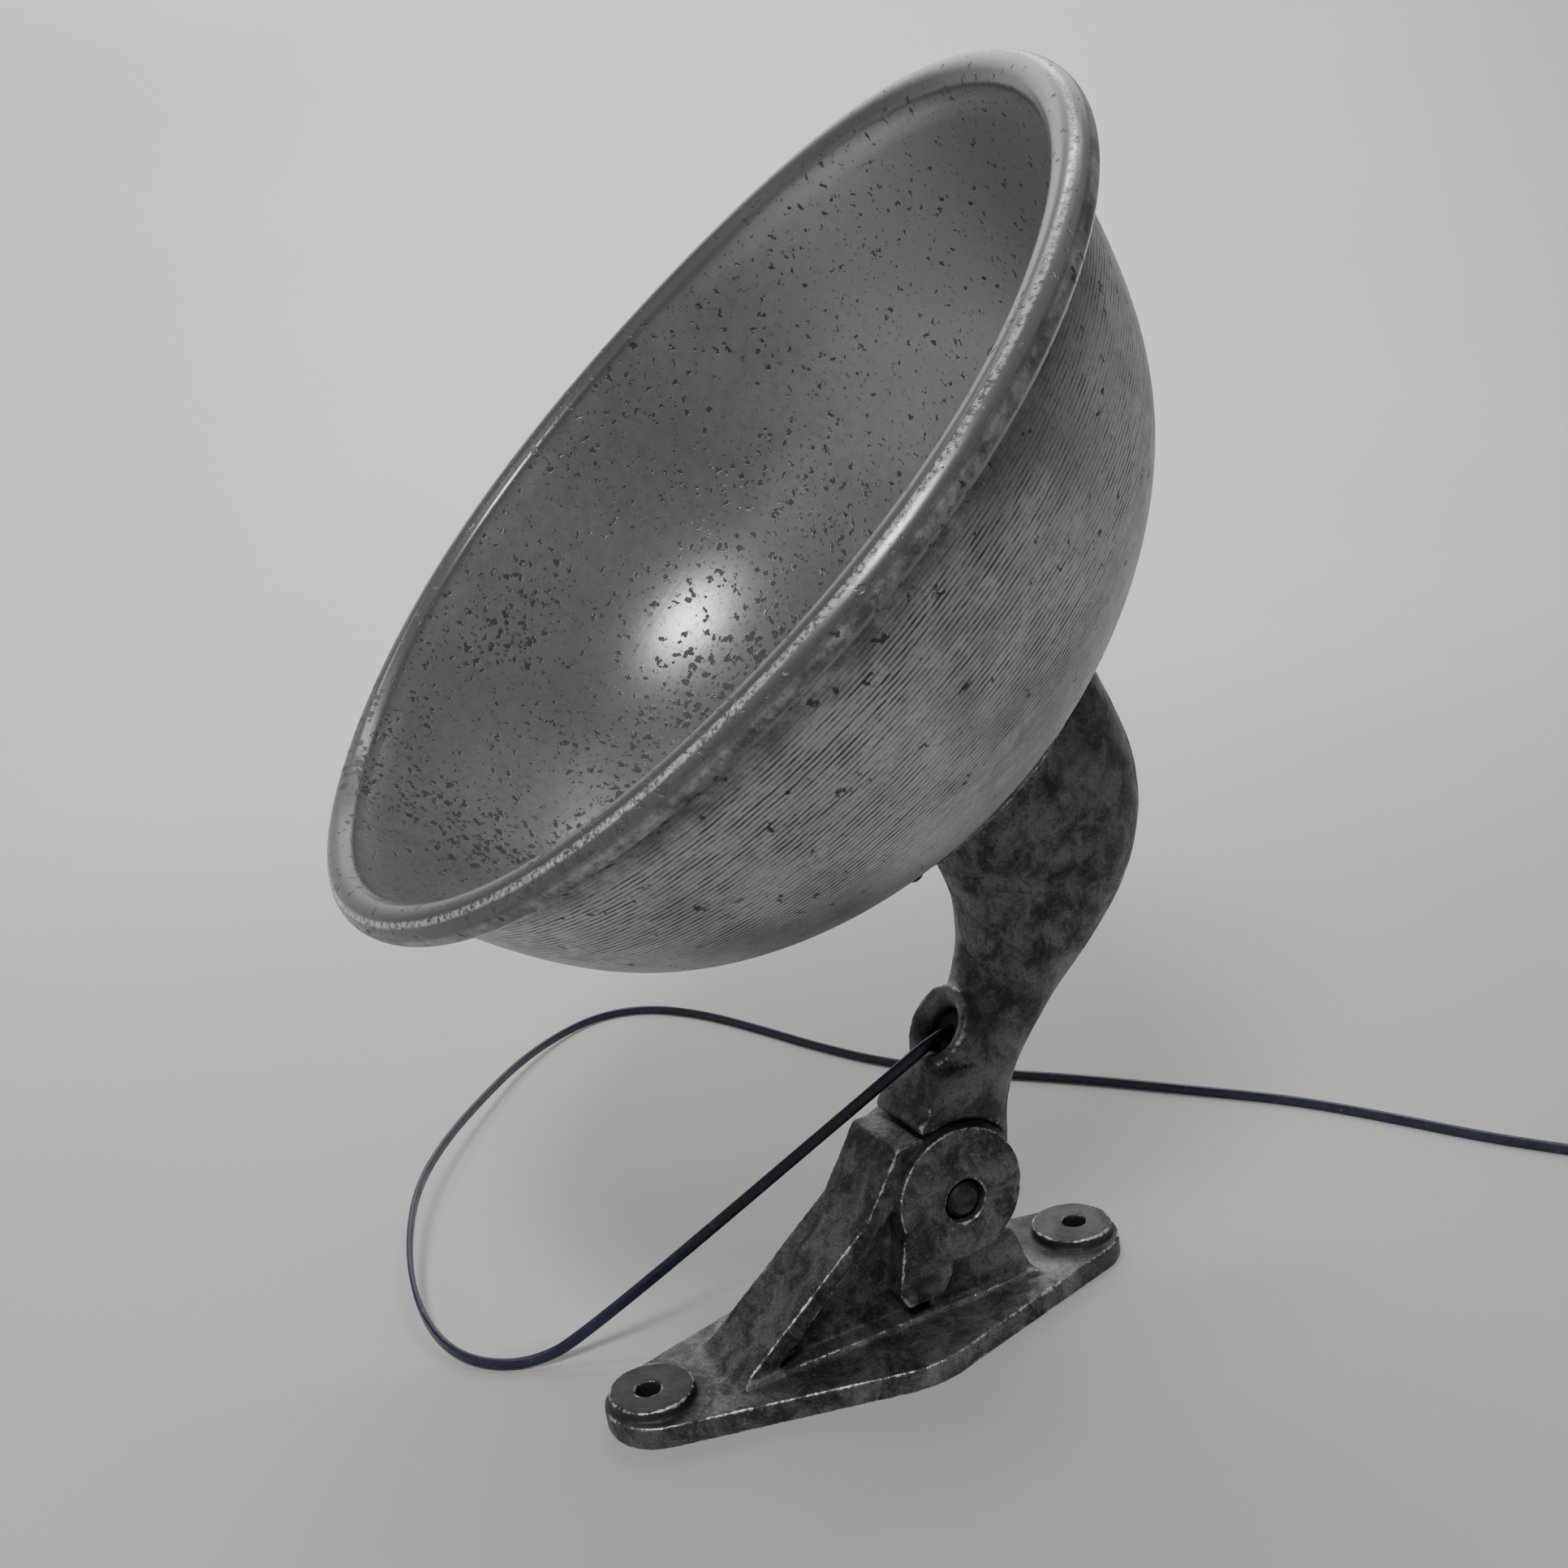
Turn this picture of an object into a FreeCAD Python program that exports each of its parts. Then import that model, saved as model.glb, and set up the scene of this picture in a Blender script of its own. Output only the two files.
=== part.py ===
import FreeCAD, Part
import math
import os

# Industrial flood lamp: a lozenge base bracket, a hollow goose-neck arm hinged on it by one bolt,
# and a spun reflector bowl on the arm. Millimetres, +Z up, floor at z = 0. The two fixing holes
# lie on the X axis, the hinge turns about Y and the bowl opens towards -X and up.

Vec = FreeCAD.Vector
doc = FreeCAD.newDocument("flood_lamp")
sheet = doc.addObject("Spreadsheet::Sheet", "Dims")

DIMENSIONS = {
    "hole_spacing": 225.0,
    "hole_diameter": 11.0,
    "plate_thickness": 10.5,
    "plate_end_radius": 25.0,
    "plate_end_inset": 5.5,
    "plate_mid_radius": 53.5,
    "boss_radius": 18.8,
    "boss_inset": 1.6,
    "boss_top": 15.5,
    "foot_top": 13.0,
    "foot_width": 44.0,
    "wall_width": 40.0,
    "core_width": 24.0,
    "flank_width": 36.0,
    "hinge_x": 39.5,
    "hinge_z": 62.5,
    "ear_x": 38.0,
    "ear_z": 66.0,
    "ear_radius": 31.5,
    "ear_width": 50.0,
    "slot_width": 28.0,
    "slot_radius": 29.0,
    "bolt_diameter": 10.0,
    "bolt_bore": 10.1,
    "bolt_head_radius": 8.4,
    "bolt_head_height": 5.0,
    "pocket_radius": 10.2,
    "pocket_depth": 6.0,
    "bolt_length": 50.0,
    "washer_thickness": 1.5,
    "washer_radius": 9.0,
    "nut_radius": 9.8,
    "nut_height": 8.0,
    "tongue_width": 25.8,
    "tongue_radius": 27.0,
    "shoulder_radius": 36.0,
    "disc_thickness": 1.04,
    "disc_radius": 24.0,
    "arm_wall": 5.0,
    "bowl_x": -45.0,
    "bowl_z": 383.7,
    "bowl_tilt": -42.3,
    "bowl_wall": 2.0,
    "bead_ring_radius": 192.3,
    "bead_radius": 7.5,
    "bead_wall": 1.8,
    "bowl_hole_radius": 24.0,
    "flange_face": 171.0,
    "flange_thickness": 7.0,
    "flange_long": 73.0,
    "flange_short": 52.0,
    "flange_offset": 11.0,
    "seat_inner": 31.5,
    "seat_outer": 56.5,
    "screw_radius": 2.95,
    "screw_hole_radius": 3.0,
    "screw_head_radius": 5.0,
    "gland_x": 48.3,
    "gland_z": 136.7,
    "gland_angle": 33.8,
    "gland_radius": 19.8,
    "gland_bore": 10.4,
    "gland_depth": 28.0,
    "gland_mouth": 14.5,
    "gland_flare": 5.0,
    "flex_width": 5.8,
    "coil_radius": 32.0,
    "coil_layers": 3,
}
for row, (alias, value) in enumerate(DIMENSIONS.items(), 1):
    sheet.set(f"A{row}", alias)
    sheet.set(f"B{row}", str(value))
    sheet.setAlias(f"B{row}", alias)
doc.recompute()


def size(alias):
    return float(sheet.get(alias))


HINGE = Vec(size("hinge_x"), 0, size("hinge_z"))
MOUTH = Vec(size("bowl_x"), 0, size("bowl_z"))
# Local frame of the bowl: Z out of the mouth, X up and back, so depths are negative Z.
HEAD = FreeCAD.Placement(MOUTH, FreeCAD.Rotation(Vec(0, 1, 0), size("bowl_tilt")))
gland_turn = math.radians(size("gland_angle"))
GLAND_FACE = Vec(size("gland_x"), 0, size("gland_z"))
GLAND_AXIS = Vec(-math.cos(gland_turn), 0, math.sin(gland_turn))


# ---------------------------------------------------------------- helpers

def new_body(label, placement=None):
    body = doc.addObject("PartDesign::Body", label)
    body.Label = label
    if placement:
        body.Placement = placement
    return body


def new_sketch(body, role, offset=0.0):
    sketch = body.newObject("Sketcher::SketchObject", "Sketch")
    plane = next(item for item in body.Origin.OriginFeatures if item.Role == role)
    sketch.AttachmentSupport = (plane, "")
    sketch.MapMode = "FlatFace"
    sketch.AttachmentOffset = FreeCAD.Placement(Vec(0, 0, offset), FreeCAD.Rotation())
    return sketch


def add_polygon(sketch, points):
    corners = [Vec(x, y, 0) for x, y in points]
    for start, end in zip(corners, corners[1:] + corners[:1]):
        sketch.addGeometry(Part.LineSegment(start, end), False)


def add_circle(sketch, x, y, radius):
    sketch.addGeometry(Part.Circle(Vec(x, y, 0), Vec(0, 0, 1), radius), False)


def add_pad(body, sketch, length, midplane=False):
    pad = body.newObject("PartDesign::Pad", "Pad")
    pad.Profile = sketch
    pad.setExpression("Length", length)
    pad.Midplane = midplane
    sketch.Visibility = False
    doc.recompute()
    return pad


def add_pocket(body, sketch, length, midplane=False, reverse=False):
    before = body.Shape.Volume
    pocket = body.newObject("PartDesign::Pocket", "Pocket")
    pocket.Profile = sketch
    pocket.setExpression("Length", length)
    pocket.Midplane = midplane
    pocket.Reversed = reverse
    doc.recompute()
    if body.Shape.Volume > before - 1:
        raise RuntimeError(f"{body.Label}: a pocket removed nothing")
    return pocket


def add_revolution(body, sketch):
    turn = body.newObject("PartDesign::Revolution", "Revolution")
    turn.Profile = sketch
    turn.ReferenceAxis = (sketch, ["V_Axis"])
    turn.Angle = 360.0
    doc.recompute()
    return turn


def turned(label, outline, placement=None):
    """A body turned about its own Z from an outline of (radius, height) corners."""
    body = new_body(label, placement)
    sketch = new_sketch(body, "XZ_Plane")
    add_polygon(sketch, outline)
    add_revolution(body, sketch)
    return body


def shape_feature(label, shape, placement=None):
    """A piece whose shape is built from the sheet's sizes by Part's own functions."""
    feature = doc.addObject("Part::Feature", label)
    feature.Label = label
    feature.Shape = shape
    if placement:
        feature.Placement = placement
    return feature


def cylinder(radius, height, base=Vec(0, 0, 0), axis=Vec(0, 0, 1)):
    return Part.makeCylinder(radius, height, base, axis)


def ring(outer, inner, height, base=Vec(0, 0, 0), axis=Vec(0, 0, 1)):
    return cylinder(outer, height, base, axis).cut(cylinder(inner, height, base, axis))


def prism(points, width):
    """A block with an outline in the XZ plane, centred on Y."""
    corners = [Vec(x, -width / 2, z) for x, z in points]
    face = Part.Face(Part.makePolygon(corners + corners[:1]))
    return face.extrude(Vec(0, width, 0))


def flat_hexagon(radius, height, bore):
    corners = [Vec(radius * math.cos(math.radians(60 * step)), radius * math.sin(math.radians(60 * step)), 0)
               for step in range(7)]
    return Part.Face(Part.makePolygon(corners)).extrude(Vec(0, 0, height)).cut(cylinder(bore, height))


def tangent_wire(points):
    """Straight runs joined by tangent arcs; prints the smallest arc radius."""
    edges = []
    radii = []
    start = points[0]
    for before, corner, after in zip(points, points[1:], points[2:]):
        back = before - corner
        ahead = after - corner
        cut = 0.45 * min(back.Length, ahead.Length)
        turn = math.pi - back.getAngle(ahead)
        radii.append(cut / math.tan(turn / 2))
        back.normalize()
        ahead.normalize()
        arc_in = corner + back * cut
        arc_out = corner + ahead * cut
        bisector = back + ahead
        bisector.normalize()
        reach = math.hypot(radii[-1], cut) - radii[-1]
        edges.append(Part.LineSegment(start, arc_in).toShape())
        edges.append(Part.Arc(arc_in, corner + bisector * reach, arc_out).toShape())
        start = arc_out
    edges.append(Part.LineSegment(start, points[-1]).toShape())
    return Part.Wire(edges), radii


def swept_tube(label, points, radius):
    path, radii = tangent_wire([Vec(*point) for point in points])
    start = path.Edges[0]
    section = Part.Wire(Part.Circle(start.valueAt(start.FirstParameter),
                                    start.tangentAt(start.FirstParameter), radius).toShape())
    tube = path.makePipeShell([section], True, True)
    ratio = tube.Volume / (math.pi * radius ** 2 * path.Length)
    print(f"{label}: length {path.Length:.0f} mm, volume ratio {ratio:.4f}, "
          f"radii {[round(value) for value in radii]}")
    return shape_feature(label, tube)


# ---------------------------------------------------------------- base bracket

def plate_outline(sketch):
    """Three circles, small ones at the ends and a wide one between, joined by tangent lines."""
    reach = size("hole_spacing") / 2 - size("plate_end_inset")
    small = size("plate_end_radius")
    wide = size("plate_mid_radius")
    lean = math.asin((wide - small) / reach)
    up = Vec(math.sin(lean), math.cos(lean), 0)
    flip_x = Vec(-up.x, up.y, 0)
    right = Vec(reach, 0, 0)
    ends = {"wide_left": flip_x * wide, "wide_right": up * wide,
            "right_top": right + up * small, "left_top": flip_x * small - right}
    below = {name: Vec(point.x, -point.y, 0) for name, point in ends.items()}
    pieces = [
        Part.Arc(ends["wide_left"], Vec(0, wide, 0), ends["wide_right"]),
        Part.LineSegment(ends["wide_right"], ends["right_top"]),
        Part.Arc(ends["right_top"], Vec(reach + small, 0, 0), below["right_top"]),
        Part.LineSegment(below["right_top"], below["wide_right"]),
        Part.Arc(below["wide_right"], Vec(0, -wide, 0), below["wide_left"]),
        Part.LineSegment(below["wide_left"], below["left_top"]),
        Part.Arc(below["left_top"], Vec(-reach - small, 0, 0), ends["left_top"]),
        Part.LineSegment(ends["left_top"], ends["wide_left"]),
    ]
    for piece in pieces:
        sketch.addGeometry(piece, False)


def make_base_bracket():
    body = new_body("base_bracket")
    plate = new_sketch(body, "XY_Plane")
    plate_outline(plate)
    add_pad(body, plate, "Dims.plate_thickness")

    bosses = new_sketch(body, "XY_Plane")
    boss_x = size("hole_spacing") / 2 - size("boss_inset")
    for side in (-1, 1):
        add_circle(bosses, side * boss_x, 0, size("boss_radius"))
    add_pad(body, bosses, "Dims.boss_top")

    foot = new_sketch(body, "XY_Plane")
    half_foot = size("foot_width") / 2
    add_polygon(foot, [(-76, -half_foot), (76, -half_foot), (76, half_foot), (-76, half_foot)])
    add_pad(body, foot, "Dims.foot_top")

    root = size("plate_thickness") - 1
    front_wall = [(-80, root), (-8, 66), (0, 78), (11, 95), (24, 96.5), (24, 88), (13, 83),
                  (6.5, 68), (-64, root)]
    core = [(-72, root), (-4, 64), (11, 64), (22, 40), (22, root)]
    flank = [(20, root), (20, 42), (60, 40), (68, 34), (76, root)]
    for outline, width in ((front_wall, "wall_width"), (core, "core_width"), (flank, "flank_width")):
        sketch = new_sketch(body, "XZ_Plane")
        add_polygon(sketch, outline)
        add_pad(body, sketch, f"Dims.{width}", midplane=True)

    ears = new_sketch(body, "XZ_Plane")
    add_circle(ears, size("ear_x"), size("ear_z"), size("ear_radius"))
    add_pad(body, ears, "Dims.ear_width", midplane=True)
    stems = new_sketch(body, "XZ_Plane")
    add_polygon(stems, [(9, 62), (2, 28), (6, 20), (24, 21), (30, 30), (33, 50)])
    add_pad(body, stems, "Dims.ear_width - 1.6", midplane=True)

    slot = new_sketch(body, "XZ_Plane")
    add_circle(slot, HINGE.x, HINGE.z, size("slot_radius"))
    add_pocket(body, slot, "Dims.slot_width", midplane=True)
    throat = new_sketch(body, "XZ_Plane")
    add_polygon(throat, [(HINGE.x - 12, 80), (HINGE.x - 12, 110), (84, 110), (84, 50), (60, 50)])
    add_pocket(body, throat, "Dims.slot_width", midplane=True)

    bore = new_sketch(body, "XZ_Plane")
    add_circle(bore, HINGE.x, HINGE.z, size("bolt_bore") / 2)
    add_pocket(body, bore, "Dims.ear_width + 10", midplane=True)
    for offset, reverse in ((size("ear_width") / 2, False), (-size("ear_width") / 2, True)):
        pocket = new_sketch(body, "XZ_Plane", offset)
        add_circle(pocket, HINGE.x, HINGE.z, size("pocket_radius"))
        add_pocket(body, pocket, "Dims.pocket_depth", reverse=reverse)

    holes = new_sketch(body, "XY_Plane")
    for side in (-1, 1):
        add_circle(holes, side * size("hole_spacing") / 2, 0, size("hole_diameter") / 2)
    add_pocket(body, holes, "Dims.boss_top * 3", midplane=True)
    return body


# ---------------------------------------------------------------- hinge hardware

def make_hinge():
    seat = size("ear_width") / 2 - size("pocket_depth")
    radius = size("bolt_diameter") / 2
    # These stand on end along Z and are then turned so that their Z runs along +Y.
    along_y = FreeCAD.Rotation(Vec(1, 0, 0), -90)
    near = FreeCAD.Placement(HINGE + Vec(0, -seat, 0), along_y)
    far = FreeCAD.Placement(HINGE + Vec(0, seat, 0), along_y)
    head = size("bolt_head_radius")
    height = size("bolt_head_height")
    turned("hinge_bolt", [(0, -height), (head - 2, -height), (head, 2 - height), (head, 0), (radius, 0),
                          (radius, size("bolt_length") - 1), (radius - 1, size("bolt_length")),
                          (0, size("bolt_length"))], near)
    washer = size("washer_thickness")
    turned("hinge_washer", [(radius + 0.2, 0), (size("washer_radius"), 0),
                            (size("washer_radius"), washer), (radius + 0.2, washer)], far)
    nut_place = FreeCAD.Placement(HINGE + Vec(0, seat + washer, 0), along_y)
    shape_feature("hinge_nut", flat_hexagon(size("nut_radius"), size("nut_height"), radius + 0.05), nut_place)
    inner = size("tongue_width") / 2 + 0.03
    disc = size("disc_thickness")
    outline = [(radius + 0.2, 0), (size("disc_radius"), 0), (size("disc_radius"), disc), (radius + 0.2, disc)]
    turned("near_friction_disc", outline, FreeCAD.Placement(HINGE + Vec(0, -inner - disc, 0), along_y))
    turned("far_friction_disc", outline, FreeCAD.Placement(HINGE + Vec(0, inner, 0), along_y))


# ---------------------------------------------------------------- arm casting

# Stations of the goose neck, bottom to top: centre x and z, lean of the section from level in
# degrees, half width in the plane of the arm and half width across it.
ARM_STATIONS = [
    (57.0, 70.0, 0.0, 18.5, 17.5),
    (56.5, 88.0, -4.0, 21.2, 19.0),
    (59.0, 108.4, -16.0, 22.9, 20.0),
    (72.2, 130.2, -30.0, 20.5, 22.0),
    (85.9, 150.4, -30.0, 23.5, 24.0),
    (99.4, 171.3, -16.0, 33.1, 28.0),
    (110.4, 194.0, 2.0, 44.4, 32.0),
    (110.4, 221.5, 18.0, 51.7, 35.0),
    (101.0, 245.5, 31.0, 53.0, 36.0),
]
# The neck's last section, in the bowl's frame: centre x and the half widths along x and y.
NECK_TOP = (17.0, 57.0, 37.0)


def ellipse_wire(centre, along, long_half, across_half):
    """A smooth closed curve through an ellipse in the plane of `along` and Y."""
    points = []
    for step in range(16):
        angle = math.radians(22.5 * step)
        points.append(centre + along * (long_half * math.cos(angle))
                      + Vec(0, across_half * math.sin(angle), 0))
    curve = Part.BSplineCurve()
    curve.interpolate(Points=points, PeriodicFlag=True)
    return Part.Wire(curve.toShape())


def neck_loft(inset, first, top_depth):
    """The goose neck as a loft through its stations, every half width less `inset`."""
    wires = []
    for x, z, lean, half_long, half_across in ARM_STATIONS[first:]:
        lean = math.radians(lean)
        along = Vec(math.cos(lean), 0, math.sin(lean))
        wires.append(ellipse_wire(Vec(x, 0, z), along, half_long - inset, half_across - inset))
    x, half_long, half_across = NECK_TOP
    top = HEAD.multVec(Vec(x, 0, -top_depth))
    along = HEAD.Rotation.multVec(Vec(1, 0, 0))
    wires.append(ellipse_wire(top, along, half_long - inset, half_across - inset))
    return Part.makeLoft(wires, True, False, False, 5)


def head_shape(shape):
    placed = shape.copy()
    placed.Placement = HEAD * placed.Placement
    return placed


# Bowl screws in the bowl's frame: x, y, depth of the head's seat and depth of the screw's end.
# The front one goes through the flange to a dome nut, the side ones are tapped into it.
BOWL_SCREWS = [(-50.5, 0.0, 154.0, 190.0), (10.0, 43.0, 157.0, 177.6), (10.0, -43.0, 157.0, 177.6)]
HOLDER_SCREW_PLACES = [(0.0, 28.0), (0.0, -28.0)]


def make_arm():
    face = size("flange_face")
    bottom = face + size("flange_thickness")
    flange = Part.Face(Part.Wire(Part.Ellipse(Vec(0, 0, 0), size("flange_long"),
                                              size("flange_short")).toShape()))
    flange = flange.extrude(Vec(0, 0, size("flange_thickness")))
    flange.translate(Vec(size("flange_offset"), 0, -bottom))
    arm = neck_loft(0, 0, bottom - 1).fuse(head_shape(flange))
    across = Vec(0, 1, 0)
    half_tongue = size("tongue_width") / 2
    tongue = cylinder(size("tongue_radius"), 2 * half_tongue, HINGE - across * half_tongue, across)
    stop_block = prism([(24, 97), (24, 101), (40, 121), (56, 121), (56, 97)], size("wall_width"))
    gland = cylinder(size("gland_radius"), 26, GLAND_FACE - GLAND_AXIS * 26, GLAND_AXIS)
    arm = arm.fuse([tongue, stop_block, gland])

    # Room for the two ears, the hinge bolt and the space inside.
    for start in (-60, half_tongue):
        ear_room = cylinder(size("shoulder_radius"), 60 - half_tongue, HINGE + across * start, across)
        arm = arm.cut(ear_room)
    arm = arm.cut(cylinder(size("bolt_bore") / 2, 60, HINGE - across * 30, across))
    arm = arm.cut(neck_loft(size("arm_wall"), 2, bottom))
    arm = arm.cut(cylinder(size("gland_bore"), size("gland_depth"),
                           GLAND_FACE - GLAND_AXIS * size("gland_depth"), GLAND_AXIS))
    flare = size("gland_flare")
    arm = arm.cut(Part.makeCone(size("gland_bore"), size("gland_mouth"), flare,
                                GLAND_FACE - GLAND_AXIS * flare, GLAND_AXIS))
    holes = [cylinder(size("bowl_hole_radius"), 20, Vec(0, 0, -bottom - 5))]
    holes += [cylinder(size("screw_hole_radius"), 30, Vec(x, y, -bottom - 15))
              for x, y, seat, end in BOWL_SCREWS]
    holes += [cylinder(2.0, 30, Vec(x, y, -bottom - 15)) for x, y in HOLDER_SCREW_PLACES]
    for hole in holes:
        arm = arm.cut(head_shape(hole))
    return shape_feature("arm_casting", arm.removeSplitter())


# ---------------------------------------------------------------- reflector

# The outside of the bowl from mouth to pole: radius and depth below the mouth.
BOWL_OUTSIDE = [(184.6, 8.0), (176.0, 47.0), (158.5, 89.0), (126.0, 124.5), (89.0, 147.5), (46.0, 162.8)]
POLE_HOLE_DEPTH = 166.6


def bowl_curve(inset, radius_end, depth_end):
    """A smooth curve down the bowl, `inset` inside its outer surface."""
    points = []
    for radius, depth in BOWL_OUTSIDE:
        reach = math.hypot(radius, depth)
        points.append(Vec(radius, -depth, 0) * ((reach - inset) / reach))
    points.append(Vec(radius_end, inset - depth_end, 0))
    curve = Part.BSplineCurve()
    curve.interpolate(points)
    return curve, points


def make_reflector():
    """One sheet: the rolled bead at the mouth runs into the spun wall, which ends at the pole hole."""
    body = new_body("reflector_bowl", HEAD)
    sketch = new_sketch(body, "XZ_Plane")
    hole = size("bowl_hole_radius")
    outside, outside_points = bowl_curve(0, hole, POLE_HOLE_DEPTH)
    inside, inside_points = bowl_curve(size("bowl_wall"), hole, POLE_HOLE_DEPTH)
    bead = size("bead_ring_radius")
    outer = size("bead_radius")
    inner = outer - size("bead_wall")
    curl = math.radians(-128)
    outer_end = Vec(bead + outer * math.cos(curl), outer * math.sin(curl), 0)
    inner_end = Vec(bead + inner * math.cos(curl), inner * math.sin(curl), 0)
    pieces = [
        outside,
        Part.LineSegment(outside_points[-1], inside_points[-1]),
        inside,
        Part.LineSegment(inside_points[0], Vec(bead - outer, 0, 0)),
        Part.Arc(Vec(bead - outer, 0, 0), Vec(bead, outer, 0), outer_end),
        Part.LineSegment(outer_end, inner_end),
        Part.Arc(inner_end, Vec(bead, inner, 0), Vec(bead - inner, 0, 0)),
        Part.LineSegment(Vec(bead - inner, 0, 0), outside_points[0]),
    ]
    for piece in pieces:
        sketch.addGeometry(piece, False)
    add_revolution(body, sketch)
    holes = new_sketch(body, "XY_Plane")
    for x, y, seat, end in BOWL_SCREWS:
        add_circle(holes, x, y, size("screw_hole_radius") + 0.1)
    for x, y in HOLDER_SCREW_PLACES:
        add_circle(holes, x, y, 2.2)
    add_pocket(body, holes, "Dims.flange_face + 5")
    return body


def dome_solid(inset):
    """The whole space inside the bowl's outer surface, or `inset` within it."""
    curve, points = bowl_curve(inset, size("bowl_hole_radius"), POLE_HOLE_DEPTH)
    middle = [Vec(0, points[-1].y, 0), Vec(0, points[0].y, 0)]
    edges = [curve.toShape(),
             Part.LineSegment(points[-1], middle[0]).toShape(),
             Part.LineSegment(middle[0], middle[1]).toShape(),
             Part.LineSegment(middle[1], points[0]).toShape()]
    face = Part.Face(Part.Wire(edges))
    face.rotate(Vec(0, 0, 0), Vec(1, 0, 0), 90)
    return face.revolve(Vec(0, 0, 0), Vec(0, 0, 1), 360)


def make_head_fasteners():
    face = size("flange_face")
    bottom = face + size("flange_thickness")
    shank = size("screw_radius")
    seat_ring = ring(size("seat_outer"), size("seat_inner"), 30, Vec(0, 0, -face)).cut(dome_solid(0))
    bowl_space = dome_solid(size("bowl_wall"))
    screws = []
    washers = []
    for x, y, seat, end in BOWL_SCREWS:
        seat_ring = seat_ring.cut(cylinder(size("screw_hole_radius"), 40, Vec(x, y, -face - 5)))
        screw = cylinder(shank, end - seat, Vec(x, y, -end))
        screw = screw.fuse(cylinder(size("screw_head_radius"), 3.6, Vec(x, y, -seat)))
        screws.append(screw.removeSplitter())
        washer = ring(size("screw_head_radius") + 0.5, shank + 0.05, 15, Vec(x, y, -seat - 15))
        washers.append(washer.common(bowl_space).Solids[0])
    shape_feature("seating_ring", seat_ring, HEAD)
    shape_feature("reflector_screws", Part.makeCompound(screws), HEAD)
    shape_feature("reflector_screw_washers", Part.makeCompound(washers), HEAD)

    # Under the flange: a flat washer, a spring washer and a dome nut, one after another.
    x, y, seat, end = BOWL_SCREWS[0]
    washer = 1.6
    flat = ring(6.0, shank + 0.05, washer, Vec(x, y, -bottom - washer))
    spring = ring(5.4, shank + 0.05, washer, Vec(x, y, -bottom - 2 * washer))
    shape_feature("dome_nut_washers", Part.makeCompound([flat, spring]), HEAD)
    base = -bottom - 2 * washer
    hexagon = flat_hexagon(5.8, 6.5, shank + 0.05)
    hexagon.translate(Vec(x, y, base - 6.5))
    dome = Part.makeSphere(4.9, Vec(x, y, base - 8)).fuse(cylinder(4.9, 3, Vec(x, y, base - 8)))
    dome = dome.cut(cylinder(shank + 0.05, 20, Vec(x, y, -end - 0.3)))
    shape_feature("reflector_dome_nut", hexagon.fuse(dome).removeSplitter(), HEAD)


# ---------------------------------------------------------------- lampholder

def make_lampholder():
    plate_top = -161.6
    plate = ring(34, 22, 1.5, Vec(0, 0, plate_top - 1.5))
    for x, y in HOLDER_SCREW_PLACES:
        plate = plate.cut(cylinder(2.0, 4, Vec(x, y, plate_top - 3)))
    shape_feature("lampholder_plate", plate, HEAD)
    screws = []
    for x, y in HOLDER_SCREW_PLACES:
        shank = cylinder(1.95, 14.8, Vec(x, y, plate_top - 14.8))
        screws.append(shank.fuse(cylinder(3.0, 2.2, Vec(x, y, plate_top))).removeSplitter())
    shape_feature("lampholder_plate_screws", Part.makeCompound(screws), HEAD)
    turned("lampholder_insulator", [(0, -196), (21.5, -196), (21.5, plate_top), (24.5, plate_top),
                                    (24.5, -151), (23, -149.5), (15, -149.5), (15, -190), (0, -190)], HEAD)
    turned("lamp_screw_shell", [(13.6, -185), (15, -185), (15, -152), (13.6, -152)], HEAD)
    turned("lamp_centre_contact", [(0, -189.95), (5.5, -189.95), (5.5, -188.8), (3, -187), (0, -187)], HEAD)
    terminals = [cylinder(2.6, 4, Vec(x, 0, -200)) for x in (-11, 11)]
    shape_feature("lampholder_terminals", Part.makeCompound(terminals), HEAD)


# ---------------------------------------------------------------- wiring and cord

def gland_point(depth, down, side):
    """A point in the gland: depth behind its face, distance below its axis, and Y."""
    below = Vec(-math.sin(gland_turn), 0, -math.cos(gland_turn))
    return GLAND_FACE - GLAND_AXIS * depth + below * down + Vec(0, side, 0)


CORD_START = (34.1, 1.5, 123.8)
CORD_ROUTE = [
    CORD_START, (-121, 62.5, 10.6), (-143, 70, 3.2), (-161, 81, 3.2), (-173, 99, 5), (-178, 124, 9),
    (-176, 157, 15), (-165, 201, 20), (-146, 250, 22), (-116, 301, 20), (-76, 357, 15), (-34, 411, 9),
    (8, 449, 4.5), (45, 464, 3.2), (77, 450, 3.2), (101, 411, 3.2), (118, 360, 3.2), (134, 302, 3.2),
    (155, 246, 3.2), (189, 196, 3.2), (229, 146, 3.2), (263, 95, 3.2), (295, 48, 3.2), (316, 1, 3.2),
    (334, -46, 3.2), (352, -80, 3.2), (368, -108, 3.2),
]
COIL_CENTRE = Vec(398, -94, 0)
# The cord leaves the coil's top outer turn here, along the tangent, towards the plug.
COIL_LEAVES = math.radians(205)
TAIL_LENGTH = 26.0
TAIL_HEIGHT = 16.2


def tail_start():
    """Where the cord leaves the coil, and its direction there."""
    radius = size("coil_radius") + size("flex_width") / 2
    spoke = Vec(math.cos(COIL_LEAVES), math.sin(COIL_LEAVES), 0)
    return COIL_CENTRE + spoke * radius + Vec(0, 0, TAIL_HEIGHT), Vec(-spoke.y, spoke.x, 0)


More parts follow.
